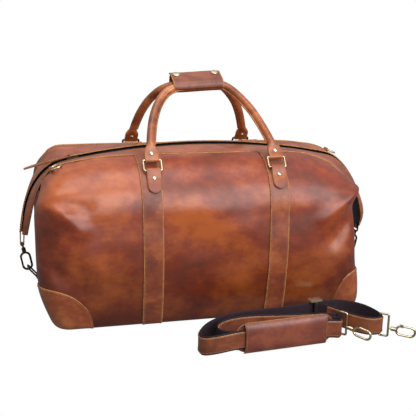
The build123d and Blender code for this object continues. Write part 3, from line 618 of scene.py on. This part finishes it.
def above(side_name, along, v, lift):
    """A point a little above the skin, and the skin's outward normal there."""
    point = skin(side_name, along, v)
    across = skin(side_name, along + 1.0, v) - skin(side_name, along - 1.0, v)
    up = skin(side_name, along, min(v + 0.004, 1)) - skin(side_name, along, max(v - 0.004, 0))
    normal = (across.cross(up) * -SIDES[side_name]).normalized()
    point += normal * (lift * ease((point.z + 3) / 10))
    point.z = max(point.z, 0.3)
    return point, normal


SHARES = spread(0, 1, 58)
along_stations = (spread(-TURN_END, -TURN_START, 13) + spread(-TURN_START, TURN_START, 62)[1:-1]
                  + spread(TURN_START, TURN_END, 13))
for side_name, side in SIDES.items():
    rows = [[skin(side_name, a, v) for a in along_stations] for v in SHARES]
    sheet_piece(("bag", "panel_leather", f"{side_name}_panel"), f"{side_name}_panel_skin", rows,
                [body_leather, cut_edge], LEATHER, flip=side > 0)


# ---- end panels and base ----
END_FOLD = 24.0  # how far the end folds in under the wing


def end_skin(hand, across, v):
    """The end's surface, from the front seam (-1) to the back seam (1)."""
    front = skin("front", hand * TURN_END, v)
    back = skin("back", hand * TURN_END, v)
    point = front.lerp(back, (across + 1) / 2)
    height = section(v).y
    fold = END_FOLD * ease((height - 30) / 190) * (1 - across**2) ** 0.8
    crease = 5.0 * exp(-((abs(across) - 0.42) / 0.16) ** 2) * ease((height - 70) / 120)
    low = 9.0 * (1 - across**2) * ease(height / 40)
    point.x -= hand * (max(fold, low) + crease)
    return point


TUCK = 12.0  # an end's top row turns in under the wing
last_flat = max(i for i, v in enumerate(SHARES) if skin("front", 0, v).z < 0.3)
for hand_name, hand in HANDS.items():
    rows = [[end_skin(hand, w, v) for w in spread(-1, 1, 31)] for v in SHARES[last_flat:]]
    top = [Vector((p.x - hand * TUCK, p.y, p.z + TUCK * 0.6)) for p in rows[-1]]
    sheet_piece(("bag", "panel_leather", f"{hand_name}_end_panel"), f"{hand_name}_end_skin",
                rows + [top], [body_leather, cut_edge], LEATHER, flip=hand < 0)


def floor_rows(stations, shares):
    """Rows across the base, from the front's foot to the back's."""
    return [[skin("front", a, 0).lerp(skin("back", a, 0), share) for a in stations]
            for share in shares]


rows = floor_rows(along_stations, spread(0, 1, 12))
sheet_piece(("bag", "panel_leather", "base_panel"), "base_skin", rows, [trim_leather, cut_edge],
            LEATHER, flip=True)


def ring_round(v):
    """The body's outline at a share of the section: front, right end, back and left end."""
    loop = [skin("front", a, v) for a in along_stations]
    loop += [end_skin(1, w, v) for w in spread(-1, 1, 13)[1:-1]]
    loop += [skin("back", a, v) for a in along_stations[::-1]]
    return loop + [end_skin(-1, w, v) for w in spread(1, -1, 13)[1:-1]]


inside = Matrix.Diagonal((0.975, 0.96, 0.985))
rows = [[inside @ p + Vector((0, 0, 4)) for p in ring_round(v)] for v in spread(0.03, 0.94, 34)]
sheet_piece(("bag", "lining_cloth", "lining"), "lining_skin", rows, [lining_cloth], 0.8,
            closed=True, round_off=0)
rows = [[Vector((p.x * 0.95, p.y, 4.6)) for p in row]
        for row in floor_rows(spread(-300, 300, 30), spread(0.06, 0.94, 8))]
sheet_piece(("bag", "board", "base_board"), "board_skin", rows, [board_sheet], 2.0, round_off=0)


# ---- trim sewn on the panels ----
TRIM = 2.0
BAND_X, BAND_HALF, BAND = 123.0, 19.0, 2.4
EDGE_INSET = 3.2  # stitches run this far inside an edge
stitches = []
ticks = []


def band_middle(side_name, hand, v):
    """Where a band's middle lies, up its height: the soft front leans a little."""
    lean = {("front", -1): -2.5 * v, ("front", 1): 4 * ease(v) - 9}
    return hand * BAND_X + lean.get((side_name, hand), 0)


for side_name, side in SIDES.items():
    for hand_name, hand in HANDS.items():
        offsets = edged(-BAND_HALF, BAND_HALF, 10)
        rows = [[above(side_name, band_middle(side_name, hand, v) + o, v, BAND)[0]
                 for o in offsets] for v in spread(0.08, 0.998, 70)]
        sheet_piece(("bag", "trim_leather", f"{side_name}_{hand_name}_band"),
                    f"{side_name}_{hand_name}_band_skin", rows, [trim_leather, cut_edge],
                    BAND, flip=side > 0, rims="first column, last column")
        for edge in (EDGE_INSET - BAND_HALF, BAND_HALF - EDGE_INSET):
            ticks += stitch_row([above(side_name, band_middle(side_name, hand, v) + edge, v,
                                       BAND + 0.1) for v in spread(0.085, 0.99, 110)], 3.8, True)

PATCH_HEIGHT = 84.0
PATCH_TURN = 300.0  # along the outline, a patch's curve is level from here to the corner
PATCH_HALF = 68.0  # from there down to the floor, a quarter of an oval
PATCH_WIDTH = TURN_END - PATCH_TURN + PATCH_HALF


def share_at(height):
    """The section's share at a height on the wall."""
    low, high = 0.04, 0.7
    for _ in range(18):
        mid = (low + high) / 2
        if section(mid).y < height:
            low = mid
        else:
            high = mid
    return low


patch_shares = smooth_curve(spread(0, 100, 21), [share_at(h) for h in spread(0, 100, 21)])
patch_outline = [(PATCH_TURN - PATCH_HALF * cos(t), PATCH_HEIGHT * sin(t) + 0.5)
                 for t in spread(0.03, pi / 2, 20)]
patch_outline += [(a, PATCH_HEIGHT + 0.5) for a in spread(PATCH_TURN, TURN_END, 8)[1:]]
end_outline = [(0.5 * cos(t), PATCH_HEIGHT * sin(t) + 0.5) for t in spread(0.03, pi / 2, 20)]
patch_rows = [*spread(0.02, 0.985, 12), 1.0]
for side_name, side in SIDES.items():
    for hand_name, hand in HANDS.items():
        rows = [[above(side_name, hand * a, patch_shares(h * share), TRIM)[0]
                 for a, h in patch_outline] for share in patch_rows]
        sheet_piece(("bag", "trim_leather", *pair_node(f"{side_name}_corner_patches", hand)),
                    f"{side_name}_{hand_name}_patch", rows, [patch_leather, cut_edge], TRIM,
                    flip=side * hand > 0, rims="last row")
        stitches += stitch_row([above(side_name, hand * (a + EDGE_INSET * (TURN_END - a) / PATCH_WIDTH),
                                      patch_shares(h - EDGE_INSET * h / PATCH_HEIGHT), TRIM + 0.3)
                                for a, h in patch_outline])
        # the same patch round the corner, on the end
        rows = [[end_skin(hand, side * (1 - reach_in), patch_shares(h * share))
                 + Vector((hand * TRIM, 0, 0)) for reach_in, h in end_outline]
                for share in patch_rows]
        sheet_piece(("bag", "trim_leather"), f"{side_name}_{hand_name}_patch_end", rows,
                    [patch_leather, cut_edge], TRIM, flip=side * hand < 0, rims="last row")


# ---- top facings, wings and zip ----
ZIP_GAP = 6.8  # from the zip line to a facing's cut edge
EDGE_RISE = {"front": -0.8, "back": 3.6}  # the back facing's zip edge stands higher
LAST = len(STATIONS) - 1


def zip_normal(u):
    """Upward normal of the zip line, in the XZ plane."""
    run = zip_curve(min(u + 0.05, LAST)) - zip_curve(max(u - 0.05, 0))
    return Vector((-run.z, 0, run.x)).normalized()


def top_strip(side_name, u, share, lift):
    """A point across a facing, from the zip (0) to the seam (1)."""
    side = SIDES[side_name]
    inner = zip_curve(u) + Vector((0, side * ZIP_GAP, 0))
    point = inner.lerp(edge_curves[side_name](u), share)
    rise = EDGE_RISE[side_name] * (1 - share) ** 2
    return point + zip_normal(u) * (lift + rise + 1.6 * sin(pi * share))


strip_stations = spread(0, LAST, 200)
for side_name, side in SIDES.items():
    rows = [[top_strip(side_name, u, share, 0) for u in strip_stations]
            for share in edged(0, 1, 10, 0.035)]
    sheet_piece(("bag", "trim_leather", f"{side_name}_zip_facing"), f"{side_name}_facing_skin",
                rows, [top_leather, cut_edge], LEATHER, flip=side < 0, rims="first row, last row")
    for share in (0.09, 0.91):
        stitches += stitch_row([(top_strip(side_name, u, share, 0.3), zip_normal(u))
                                for u in strip_stations])
    welt_path = [edge_curves[side_name](u) + zip_normal(u) * 0.2 for u in spread(6, LAST - 7, 150)]
    welt = tube(f"{side_name}_welt_skin", welt_path, 1.5, [cut_edge])
    place_piece(welt, "bag", "trim_leather", f"{side_name}_welt")

WING_STATIONS = 8.6
# a wing's lining lies this far under the zip line, and rises to the seam at its edges
WING_DROP, WING_RISE = 4.6, 3.3


def wing_point(u, share):
    """A point of a wing's lining, from the front seam (-1) to the back seam (1)."""
    edge = edge_curves["front" if share < 0 else "back"](u)
    drop = WING_DROP - WING_RISE * share**6
    return zip_curve(u).lerp(edge, abs(share) * 0.985) - zip_normal(u) * drop


for hand_name, low, high in (("left", 0, WING_STATIONS), ("right", LAST - WING_STATIONS, LAST)):
    rows = [[wing_point(u, share) for u in spread(low, high, 60)]
            for share in edged(-1, 1, 16, 0.05)]
    sheet_piece(("bag", "trim_leather", f"{hand_name}_wing"), f"{hand_name}_wing_lining", rows,
                [wing_cloth, cut_edge], 1.6, grow=0)

# the gussets: the lining that hangs in folds between a wing's edge and the end panel, each from a
# station to a station of that edge, and so far in
GUSSETS = {"left": (4.6, 8.4, 14), "right": (LAST - 6.4, LAST - 0.3, 44)}
for hand_name, (low, high, inward) in GUSSETS.items():
    hang = [edge_curves["front"](u) - zip_normal(u) * 2.6 for u in spread(low, high, 40)]
    rows = []
    for share in spread(0, 1, 14):
        fold = 2.4 * sin(2.5 * pi * share) * (1 - share)
        shift = Vector((-HANDS[hand_name] * share * inward, fold + 6 * share, 0))
        rows.append([p + shift for p in hang])
    sheet_piece(("bag", "trim_leather"), f"{hand_name}_gusset", rows, [wing_cloth], 1.2, grow=0)

TAPE_HALF, TAPE_TILT, TAPE_DROP = 13, 0.16, 2.8
TOOTH_PITCH, TOOTH_DROP = 2.3, 1.7
rows = [[zip_curve(u) + Vector((0, y, 0)) + zip_normal(u) * (TAPE_TILT * y - TAPE_DROP)
         for u in spread(0.4, LAST - 0.4, 220)] for y in spread(-TAPE_HALF, TAPE_HALF, 7)]
sheet_piece(("bag", "zip_tape", "zipper_tapes"), "zip_tape_skin", rows, [zip_cloth], 0.8)


def zip_teeth():
    """Rounded coil turns on both sides of the zip line, one beside the other."""
    shapes = []
    due, travelled = 0.0, 0.0
    dense = [(zip_curve(u), zip_normal(u)) for u in spread(0.5, LAST - 0.5, 900)]
    for (point, normal), (after, _) in zip(dense, dense[1:]):
        travelled += (after - point).length
        if travelled < due:
            continue
        due += TOOTH_PITCH
        along = (after - point).normalized()
        for side in (-1, 1):
            centre = point + along * (side * TOOTH_PITCH / 4) - normal * TOOTH_DROP
            points = []
            for y, size in ((0.2, 0.6), (0.9, 1.0), (2.6, 1.0), (3.2, 0.6)):
                points += ring(centre + Vector((0, side * y, 0)), along, normal, 0.8 * size,
                               0.9 * size, 6)
            shapes.append((points, ring_faces(4, 6)))
    return joined("zip_teeth", shapes, [zip_nylon])


place_piece(zip_teeth(), "bag", "zip_coil", "zipper_coils")


# ---- leather loops that hold the metal ----
def strap_rows(path, axis, half_width, end_length):
    """Rows for a strip along a path, to half_width along axis, its start rounded off."""
    halves = []
    for s in distances(path):
        left = 1 - s / end_length if s < end_length else 0
        halves.append(half_width * sqrt(max(1 - left**2, 0.01)))
    return [[point + Vector(axis) * (share * half) for point, half in zip(path, halves)]
            for share in spread(-1, 1, 9)]


RING_X = 119.0
BAR_ANGLE = 50.0
BAR_OUT = SHOULDER_R + TRIM + 5.6
RIVET = [(3.9, 0), (4.0, 0.5), (3.7, 1.1), (2.7, 1.8), (1.4, 2.2), (0.3, 2.3)]
RIVET_ANGLE = 41.5
# a chape's tail, the layer back under it and its outer face, from the shoulder's centre
CHAPE_R, UNDER_R, CHAPE_FACE_R = 105.2, 103.4, 106.4
CHAPE_HALF, CHAPE_END = 13.4, 12.0  # half its width, and how much of it rounds off
CHAPE_LOOP_R = 3.6  # round the ring's bar


def chape_path():
    """A chape's line in the section: up its tail, over the ring's bar, and back under itself."""
    path = [on_shoulder(a, CHAPE_R) for a in spread(26, 40, 12)]
    path += [on_shoulder(43.5, CHAPE_R + 1.2), on_shoulder(46.5, CHAPE_R + 4.0)]
    bar = on_shoulder(BAR_ANGLE, BAR_OUT)
    path += [bar + toward(a) * CHAPE_LOOP_R for a in spread(BAR_ANGLE - 10, BAR_ANGLE + 185, 14)]
    return path + [on_shoulder(a, UNDER_R) for a in (46, 42, 38, 34)]


def chape_seat(side, x, angle):
    """A spot on a chape's outer face, and the direction straight out of it."""
    seat = on_shoulder(angle, CHAPE_FACE_R)
    ahead = on_shoulder(angle, CHAPE_FACE_R + 1) - seat
    return Vector((x, side * seat.x, seat.y)), Vector((0, side * ahead.x, ahead.y))


rivets = []
for side_name, side in SIDES.items():
    for hand_name, hand in HANDS.items():
        path = [Vector((hand * RING_X, side * p.x, p.y)) for p in chape_path()]
        rows = strap_rows(path, (1, 0, 0), CHAPE_HALF, CHAPE_END)
        sheet_piece(("bag", "trim_leather", *pair_node(f"{side_name}_chapes", hand)),
                    f"{side_name}_{hand_name}_chape", rows, [trim_leather, cut_edge], TRIM,
                    grow=0, flip=side < 0)
        stitches += stitch_row([chape_seat(side, hand * RING_X + x, angle) for x, angle in (
            (-10.8, 41), (-10.8, 31), (-9.18, 29.3), (-5.4, 28.1), (0, 27.6), (5.4, 28.1),
            (9.18, 29.3), (10.8, 31), (10.8, 41))], 3.4)
        rivets.append(turned(RIVET, *chape_seat(side, hand * RING_X, RIVET_ANGLE)))
place_piece(joined("chape_rivet_domes", rivets, [nickel]), "bag", "antique_brass", "chape_rivets")

EYE_BAR = Vector((349.9, 0, 128.4))  # the hook eye's top bar, on the right
FOOT_BAR = Vector((321.5, 0, 60.0))  # the end ring's lower bar
D_BAR = Vector((297.0, 64.0, 286.0))  # the D-ring's bar
LOOP_R = 3.1  # round each of these bars


def looped(outer, bar, inner, start):
    """A strip's line along outer, half round a bar from an angle, and back along inner."""
    path = [Vector((x, 0, z)) for x, z in outer]
    sweep = 180 if start < -10 else -180
    for turn in spread(start, start + sweep, 11):
        path.append(bar + Vector((cos(radians(turn)), 0, sin(radians(turn)))) * LOOP_R)
    return path + [Vector((x, 0, z)) for x, z in inner]


end_loops = [
    ("wing_strap", "wing_straps", 6.4, 5.0,
     looped([(346.8, 186), (349.6, 172), (352.4, 155), (353.2, 140)], EYE_BAR,
            [(346.6, 138), (345.4, 150)], 0)),
    ("end_tab", "end_ring_tabs", 6.4, 0.0,
     looped([(300, 34), (312, 46)], FOOT_BAR, [(307, 50), (297, 38)], -45)),
    ("d_tab", "d_ring_tabs", 5.0, 0.0,
     looped([(288, 262), (294, 274)], D_BAR, [(289, 277), (284, 268)], -34)),
]
for hand_name, hand in HANDS.items():
    for kind, node_name, half_width, rounded, path in end_loops:
        shift = Vector((0, 0, 0))
        if kind == "d_tab":
            shift = Vector((0, hand * D_BAR.y, 0))
        path = [Vector((hand * p.x, 0, p.z)) + shift for p in path]
        sheet_piece(("bag", "trim_leather", *pair_node(node_name, hand)),
                    f"{hand_name}_{kind}", strap_rows(path, (0, 1, 0), half_width, rounded),
                    [trim_leather, cut_edge], TRIM, grow=0, flip=hand > 0)

# ---- handles ----
HANDLE_R = 8.0
LEAN = radians(38)
TAB_LOW, TAB_HIGH = 16.0, 32.0  # up a handle's leg: flat below the first, round above the second
bar = on_shoulder(BAR_ANGLE, BAR_OUT)
RING_DEPTH = 21.0  # from a D-ring's bar to where its handle hangs
top_bar = Vector((bar.x - RING_DEPTH * sin(LEAN), bar.y + RING_DEPTH * cos(LEAN)))
CROWN = 160.0  # from there to the top of the handle
crown_y = top_bar.x - CROWN * sin(LEAN)
crown_z = top_bar.y + CROWN * cos(LEAN)
GRIP_LOW, GRIP_HIGH = -59.0, 38.0


def crown_drop(x):
    """The grip hangs a little lower at its left end."""
    return 4.5 * (1 - ease((x - GRIP_LOW) / (GRIP_HIGH - GRIP_LOW)))


handle_line = [Vector(p) for p in (
    (-119, -4.4), (-119, -2), (-119, 1), (-119, 6), (-118.7, 16), (-117.6, 32), (-114, 56),
    (-107, 86), (-95, 116), (-77, 141), (-57, 153), (-36, 157), (-12, 158.6), (14, 160),
    (38, 158.5), (55, 147), (72, 127), (87, 104), (99, 78), (108, 54), (115, 32), (118.4, 16),
    (119, 6), (119, 1), (119, -2), (119, -4.4))]
handle_curve = smooth_curve(list(range(len(handle_line))), handle_line)
HANDLE_END = len(handle_line) - 1
thickness_at = profile([(-4.4, 0.4), (-3.6, 2.4), (-2, 3.9), (0, 4.4), (2.5, 4.0), (5, 3.4),
                        (9, 3.25), (16, 3.3), (24, 5.4), (32, 8)])


def on_handle(side, spot, out=0.0):
    """A point of a handle's leaning plane, and off the plane to its outer side."""
    return Vector((spot.x, side * (top_bar.x - spot.y * sin(LEAN) + out * cos(LEAN)),
                   top_bar.y + spot.y * cos(LEAN) + out * sin(LEAN)))


def handle_spot(t):
    """A spot on a handle's middle line, and the direction towards its inside."""
    run = handle_curve(min(t + 0.05, HANDLE_END)) - handle_curve(max(t - 0.05, 0))
    return handle_curve(t), Vector((run.y, -run.x)).normalized()


HANDLE_SIDES = 20
TAB_HALF = 13.5
for side_name, side in SIDES.items():
    rows, leg_heights = [], []
    for t in spread(0, HANDLE_END, 190):
        spot, inward = handle_spot(t)
        round_share = ease((spot.y - TAB_LOW) / (TAB_HIGH - TAB_LOW))
        width = TAB_HALF + (HANDLE_R - TAB_HALF) * round_share
        thick = thickness_at(spot.y) if spot.y < TAB_HIGH else HANDLE_R
        power = 0.28 + 0.72 * round_share
        row = []
        for k in range(HANDLE_SIDES):
            c, q = cos(2 * pi * k / HANDLE_SIDES), sin(2 * pi * k / HANDLE_SIDES)
            over = width * abs(c) ** power * (1 if c > 0 else -1)
            out = thick * abs(q) ** power * (1 if q > 0 else -1)
            row.append(on_handle(side, spot + inward * over, out))
        rows.append(row)
        leg_heights.append(spot.y)
    handle = sheet_object(f"{side_name}_handle_skin", rows, [handle_leather, cut_edge], 0,
                          closed=True, flip=side > 0)
    for polygon in handle.data.polygons:
        row, column = divmod(polygon.index, HANDLE_SIDES)
        on_side = column in (0, HANDLE_SIDES - 1, HANDLE_SIDES // 2 - 1, HANDLE_SIDES // 2)
        if on_side and 2 < leg_heights[row] < 24:
            polygon.material_index = 1
    place_piece(handle, f"{side_name}_handle", "handle_leather", f"{side_name}_handle")
    # the seam where the rolled leather meets, along the inside
    rows = [[], [], []]
    for t in spread(5, HANDLE_END - 5, 150):
        spot, inward = handle_spot(t)
        for row, depth in zip(rows, (HANDLE_R - 2, HANDLE_R + 0.6, HANDLE_R + 2.2)):
            row.append(on_handle(side, spot + inward * depth))
    sheet_piece((f"{side_name}_handle", "handle_leather"), f"{side_name}_handle_seam", rows,
                [handle_leather, cut_edge], 3.2, grow=0)
    domes = []
    for hand in (-1, 1):
        for face in (-1, 1):
            seat = on_handle(side, Vector((hand * RING_X, 12)), face * 3.1)
            ahead = on_handle(side, Vector((hand * RING_X, 12)), face * 4.1) - seat
            domes.append(turned(RIVET, seat, ahead))
    place_piece(joined(f"{side_name}_handle_domes", domes, [nickel]), f"{side_name}_handle",
                "antique_brass", f"{side_name}_handle_rivets")

WRAP_R = HANDLE_R + 1.7
BACK_WRAP_UP, BACK_WRAP_RISE = 6.0, 15.0  # the wrap stands higher over the back handle


def wrap_line():
    """Round the front handle, along under both, and round the back one, in the YZ plane."""
    line = [Vector((0, -crown_y + WRAP_R * cos(radians(a)), crown_z + WRAP_R * sin(radians(a))))
            for a in spread(88, 270, 16)]
    back_low = crown_z + BACK_WRAP_UP - BACK_WRAP_RISE
    line += [Vector((0, y, crown_z - WRAP_R + (back_low - crown_z + WRAP_R) * (y / crown_y + 1) / 2))
             for y in spread(-crown_y, crown_y, 6)[1:-1]]
    return line + [Vector((0, crown_y + (WRAP_R + 0.8) * cos(radians(a)),
                           crown_z + BACK_WRAP_UP + BACK_WRAP_RISE * sin(radians(a))))
                   for a in spread(-90, 92, 16)]


rows = []
for share in edged(0, 1, 22, 0.014):
    x = GRIP_LOW + (GRIP_HIGH - GRIP_LOW) * share
    rows.append([p + Vector((x, 0, -crown_drop(x))) for p in wrap_line()])
sheet_piece(("front_handle", "handle_leather", "grip_wrap"), "grip_wrap_skin", rows,
            [grip_leather, cut_edge], 2.3, grow=0, rims="first row, last row")

# the flap's middle layer above the crown: it climbs from the front handle to over the back one
flap_curve = smooth_curve(list(range(12)), [Vector(p) for p in (
    (-crown_y - 12.0, -3.5), (-crown_y - 12.2, 0.5), (-crown_y - 11.2, 5.0), (-21.0, 9.3),
    (-16.0, 12.0), (-10.0, 14.6), (-3.5, 17.6), (2.5, 20.4), (8.0, 22.6), (14.0, 23.6),
    (20.0, 22.8), (24.5, 20.4))])


def flap_point(x, t):
    """A point of the flap's middle layer, from its front edge (0) to its back edge (11)."""
    spot = flap_curve(t)
    return Vector((x, spot.x, crown_z - crown_drop(x) + spot.y))


FLAP_CORNER = 0.14  # the share of half the flap's width that its rounded corners take
rows = []
for share in edged(0, 1, 20, 0.014):
    corner = max(abs(share - 0.5) * 2 - (1 - FLAP_CORNER), 0) / FLAP_CORNER
    rows.append([flap_point(GRIP_LOW - 1.5 + (GRIP_HIGH - GRIP_LOW + 2) * share,
                            t * (1 - 0.06 * corner**2)) for t in edged(0, 11, 26, 0.3)])
sheet_piece(("grip_flap", "handle_leather", "grip_flap"), "grip_flap_skin", rows,
            [grip_leather, cut_edge], 2.2, grow=0, rims="first row, last row, last column")

CAP = [(7.0, 0), (7.3, 0.8), (7.0, 1.8), (6.2, 2.5), (5.5, 2.2), (4.6, 2.5), (2.6, 3.1), (0.4, 3.3)]
SNAP_AT = 7.1  # along the flap, from its front edge
caps = []
for x in (-50, 26):
    seat = flap_point(x, SNAP_AT)
    ahead = (flap_point(x + 1, SNAP_AT) - seat).cross(flap_point(x, SNAP_AT + 0.2) - seat)
    caps.append(turned(CAP, seat + ahead.normalized() * 1.0, ahead))
place_piece(joined("snap_domes", caps, [snap_brass]), "grip_flap", "antique_brass", "snap_caps")

# ---- zip pull ----
# its line, from a little inside the slider's corner of the CAD pull's box to the tip's
pull_low, pull_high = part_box("zipper_pull")
pull_start = Vector((pull_high.x, 0, pull_high.z)) / MM + Vector((-9, 0, -2.6))
pull_end = Vector((pull_low.x, 0, pull_low.z)) / MM + Vector((1.5, 0, 1.8))
path = [pull_start.lerp(pull_end, t) + Vector((0, 0, 1.5 * sin(pi * t))) for t in spread(0, 1, 24)]
sheet_piece(("zipper_pull", "trim_leather"), "zip_pull_leather",
            strap_rows(path[::-1], (0, 1, 0), 4.0, 5.0), [strap_leather, cut_edge], 2.4, grow=0,
            flip=True)

# ---- shoulder strap ----
STRAP_WIDTH, STRAP_THICKNESS = 36.0, 2.2
FACING_WIDTH, FACING = 30.0, 1.6
HALF_UP = STRAP_WIDTH / 2
STRAP_PITCH = 4.0
END_BARS = ((203.6, -255.6), (183.7, -195.2))  # the first hook's bar and the adjuster's, from above
END_LOOP_R = 3.5
strap_points = [
    (200, -254, 5), (166, -244, 5), (112, -229, 0), (52, -218, 0), (6, -222, 0), (-27, -243, 0),
    (-31, -274, 0), (-3, -291, 0), (50, -288, 0), (104, -281, 0), (152, -271, 4), (196, -262, 5),
    (196, -289, 5), (172, -291.2, 10), (140, -294.1, 11), (0, -306.8, 11), (-46, -311, 6),
    (-69, -299, 0), (-66, -269, 0), (-36, -228, 0), (14, -201, 0), (70, -195, 0), (130, -197, 2),
    (215, -184, 5), (247, -196, 5), (269, -220, 5), (278, -249, 5), (281, -285, 5),
    (251, -288, 5), (229, -264, 5), (213, -234, 5), (199, -209, 5), (186.4, -198, 5),
]


def strap_line():
    """The strap's smooth line, read from a NURBS curve through its route."""
    data = bpy.data.curves.new("strap route", "CURVE")
    data.dimensions = "3D"
    data.resolution_u = 10
    line = data.splines.new("NURBS")
    line.points.add(len(strap_points) - 1)
    for point, (x, y, lift) in zip(line.points, strap_points):
        point.co = (x * MM, y * MM, (lift + HALF_UP) * MM, 1)
    line.order_u = 3
    line.use_endpoint_u = True
    route = add_object("strap route", data)
    bpy.context.view_layer.update()
    mesh = bpy.data.meshes.new_from_object(route)
    points = [v.co / MM for v in mesh.vertices]
    bpy.data.objects.remove(route)
    bpy.data.meshes.remove(mesh)
    return points


def edgeways(path, aside, half_height, columns):
    """Rows for a band on its edge, moved aside to the left of its path."""
    moved = [point + Vector((-tangent.y, tangent.x, 0)).normalized() * aside
             for point, tangent in zip(path, tangents_along(path))]
    return [[point + Vector((0, 0, share * half_height)) for point in moved]
            for share in spread(-1, 1, columns)]


route = strap_line()
strap_piece = sheet_piece(("bag", "webbing", "shoulder_strap"), "strap_webbing",
                          edgeways(route, 0, HALF_UP - 0.3, 7), [webbing], STRAP_THICKNESS, grow=0)
facing_aside = (STRAP_THICKNESS + FACING) / 2
facing_route = route[6:-6]
facing_piece = sheet_piece(("bag", "trim_leather", "strap_facing"), "strap_leather_face",
                           edgeways(facing_route, facing_aside, FACING_WIDTH / 2, 7),
                           [strap_leather, cut_edge], FACING, grow=0)
strap_stitches = []
for share in (-1, 1):
    rows = edgeways(facing_route, facing_aside + FACING / 2 + 0.2, share * (FACING_WIDTH / 2 - 2.4), 3)
    run = [(p, Vector((-t.y, t.x, 0))) for p, t in zip(rows[2], tangents_along(facing_route))]
    strap_stitches += stitch_row(run, STRAP_PITCH)
strap_thread = place_piece(joined("strap_stitching", strap_stitches, [thread]), "bag",
                           "trim_leather")

# the webbing's two sewn ends, round the first hook's bar and the adjuster's
webbing_loops = []
for bar_x, bar_y in END_BARS:
    rows = [[Vector((bar_x + END_LOOP_R * cos(t), bar_y + END_LOOP_R * sin(t), height))
             for t in spread(0, 2 * pi, 25)[:-1]] for height in spread(5.2, 40.8, 6)]
    webbing_loops.append(sheet_piece(("bag", "webbing"), f"strap_end_{len(webbing_loops) + 1}",
                                     rows, [webbing], STRAP_THICKNESS, grow=0, closed=True))

# the pad: a sleeve swollen over the strap, sewn to a longer backing
PAD_AT = Vector((84, -299.18, 0))
PAD_ALONG = Vector((242, 22, 0)).normalized()
PAD_OUT = Vector((PAD_ALONG.y, -PAD_ALONG.x, 0))
PAD_HEIGHT, SLEEVE_HALF, BACKING_HALF = 58.0, 80.0, 94.0
SLEEVE_RISE = PAD_HEIGHT / 2 - 1.2  # half the sleeve's height
BACKING_RISE, BACKING_OUT, BACKING_ROUND = 27.6, -3.0, 22.0


def pad_point(along, height, out):
    """A point of the pad by its length, height and distance in front of the strap."""
    return PAD_AT + PAD_ALONG * along + PAD_OUT * out + Vector((0, 0, height))


def sleeve_out(share):
    """How far the sleeve stands out at a share of its half height."""
    return -0.6 + 6.6 * (1 - abs(share) ** 5)


rows = []
for share in spread(-1, 1, 23):
    height = PAD_HEIGHT / 2 + share * SLEEVE_RISE
    row = []
    for t in spread(-1, 1, 40):
        bow = 2.2 * (1 - share**2) * (1 if t > 0 else -1) * abs(t) ** 6
        row.append(pad_point(t * SLEEVE_HALF - bow, height, sleeve_out(share)
                             + 1.2 * (1 - t**2) * (1 - share**2)))
    rows.append(row)
sleeve = sheet_piece(("shoulder_pad", "pad_leather", "shoulder_pad"), "pad_sleeve", rows,
                     [pad_leather, cut_edge], 2.0, grow=0)
rows = []
for share in spread(-1, 1, 19):
    rounded = BACKING_ROUND * sqrt(max(1 - abs(share) ** 2.6, 0))
    rows.append([pad_point(t * (BACKING_HALF - BACKING_ROUND + rounded),
                           PAD_HEIGHT / 2 + share * BACKING_RISE, BACKING_OUT)
                 for t in spread(-1, 1, 40)])
backing = sheet_piece(("shoulder_pad", "pad_leather"), "pad_backing", rows,
                      [pad_leather, cut_edge], 2.2, grow=0)
pad_stitches = []
for share in (-0.93, 0.93):
    run = [(pad_point(t * (SLEEVE_HALF - 3), PAD_HEIGHT / 2 + share * SLEEVE_RISE,
                      sleeve_out(share) + 1.3), PAD_OUT) for t in spread(-1, 1, 60)]
    pad_stitches += stitch_row(run, STRAP_PITCH)
for t in (-1, 1):
    run = [(pad_point(t * (SLEEVE_HALF - 4), PAD_HEIGHT / 2 + share * (PAD_HEIGHT / 2),
                      sleeve_out(share) + 1.3), PAD_OUT) for share in spread(-0.9, 0.9, 40)]
    pad_stitches += stitch_row(run, STRAP_PITCH)
pad_thread = place_piece(joined("pad_stitching", pad_stitches, [thread]), "shoulder_pad",
                         "pad_leather")

strap_metal = ["strap_adjuster"]
strap_metal += [f"{kind}_{n}" for kind in ("strap_loop", "strap_hook", "strap_gate") for n in (1, 2)]

# ---- finishes of the CAD pieces ----
place_piece(joined("bag_stitching", stitches, [thread]), "bag", "trim_leather")
place_piece(joined("band_stitching", ticks, [thread]), "bag", "trim_leather")


def finish_node(name, material):
    """Give a CAD node's object its material."""
    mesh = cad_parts[name].data
    mesh.materials.clear()
    mesh.materials.append(material)


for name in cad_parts:
    # painted shade: fittings at the back and the ends take the darker brass, and so does the zip slider
    dark = name.startswith("back") or "end_" in name
    if any(word in name for word in ("ring", "hook", "gate", "loop", "adjuster", "slider")):
        finish_node(name, dark_and_shaded_brass if dark or "slider" in name else brass)
finish_node("zipper_pull", strap_leather)
finish_node("strap_adjuster", snap_brass)
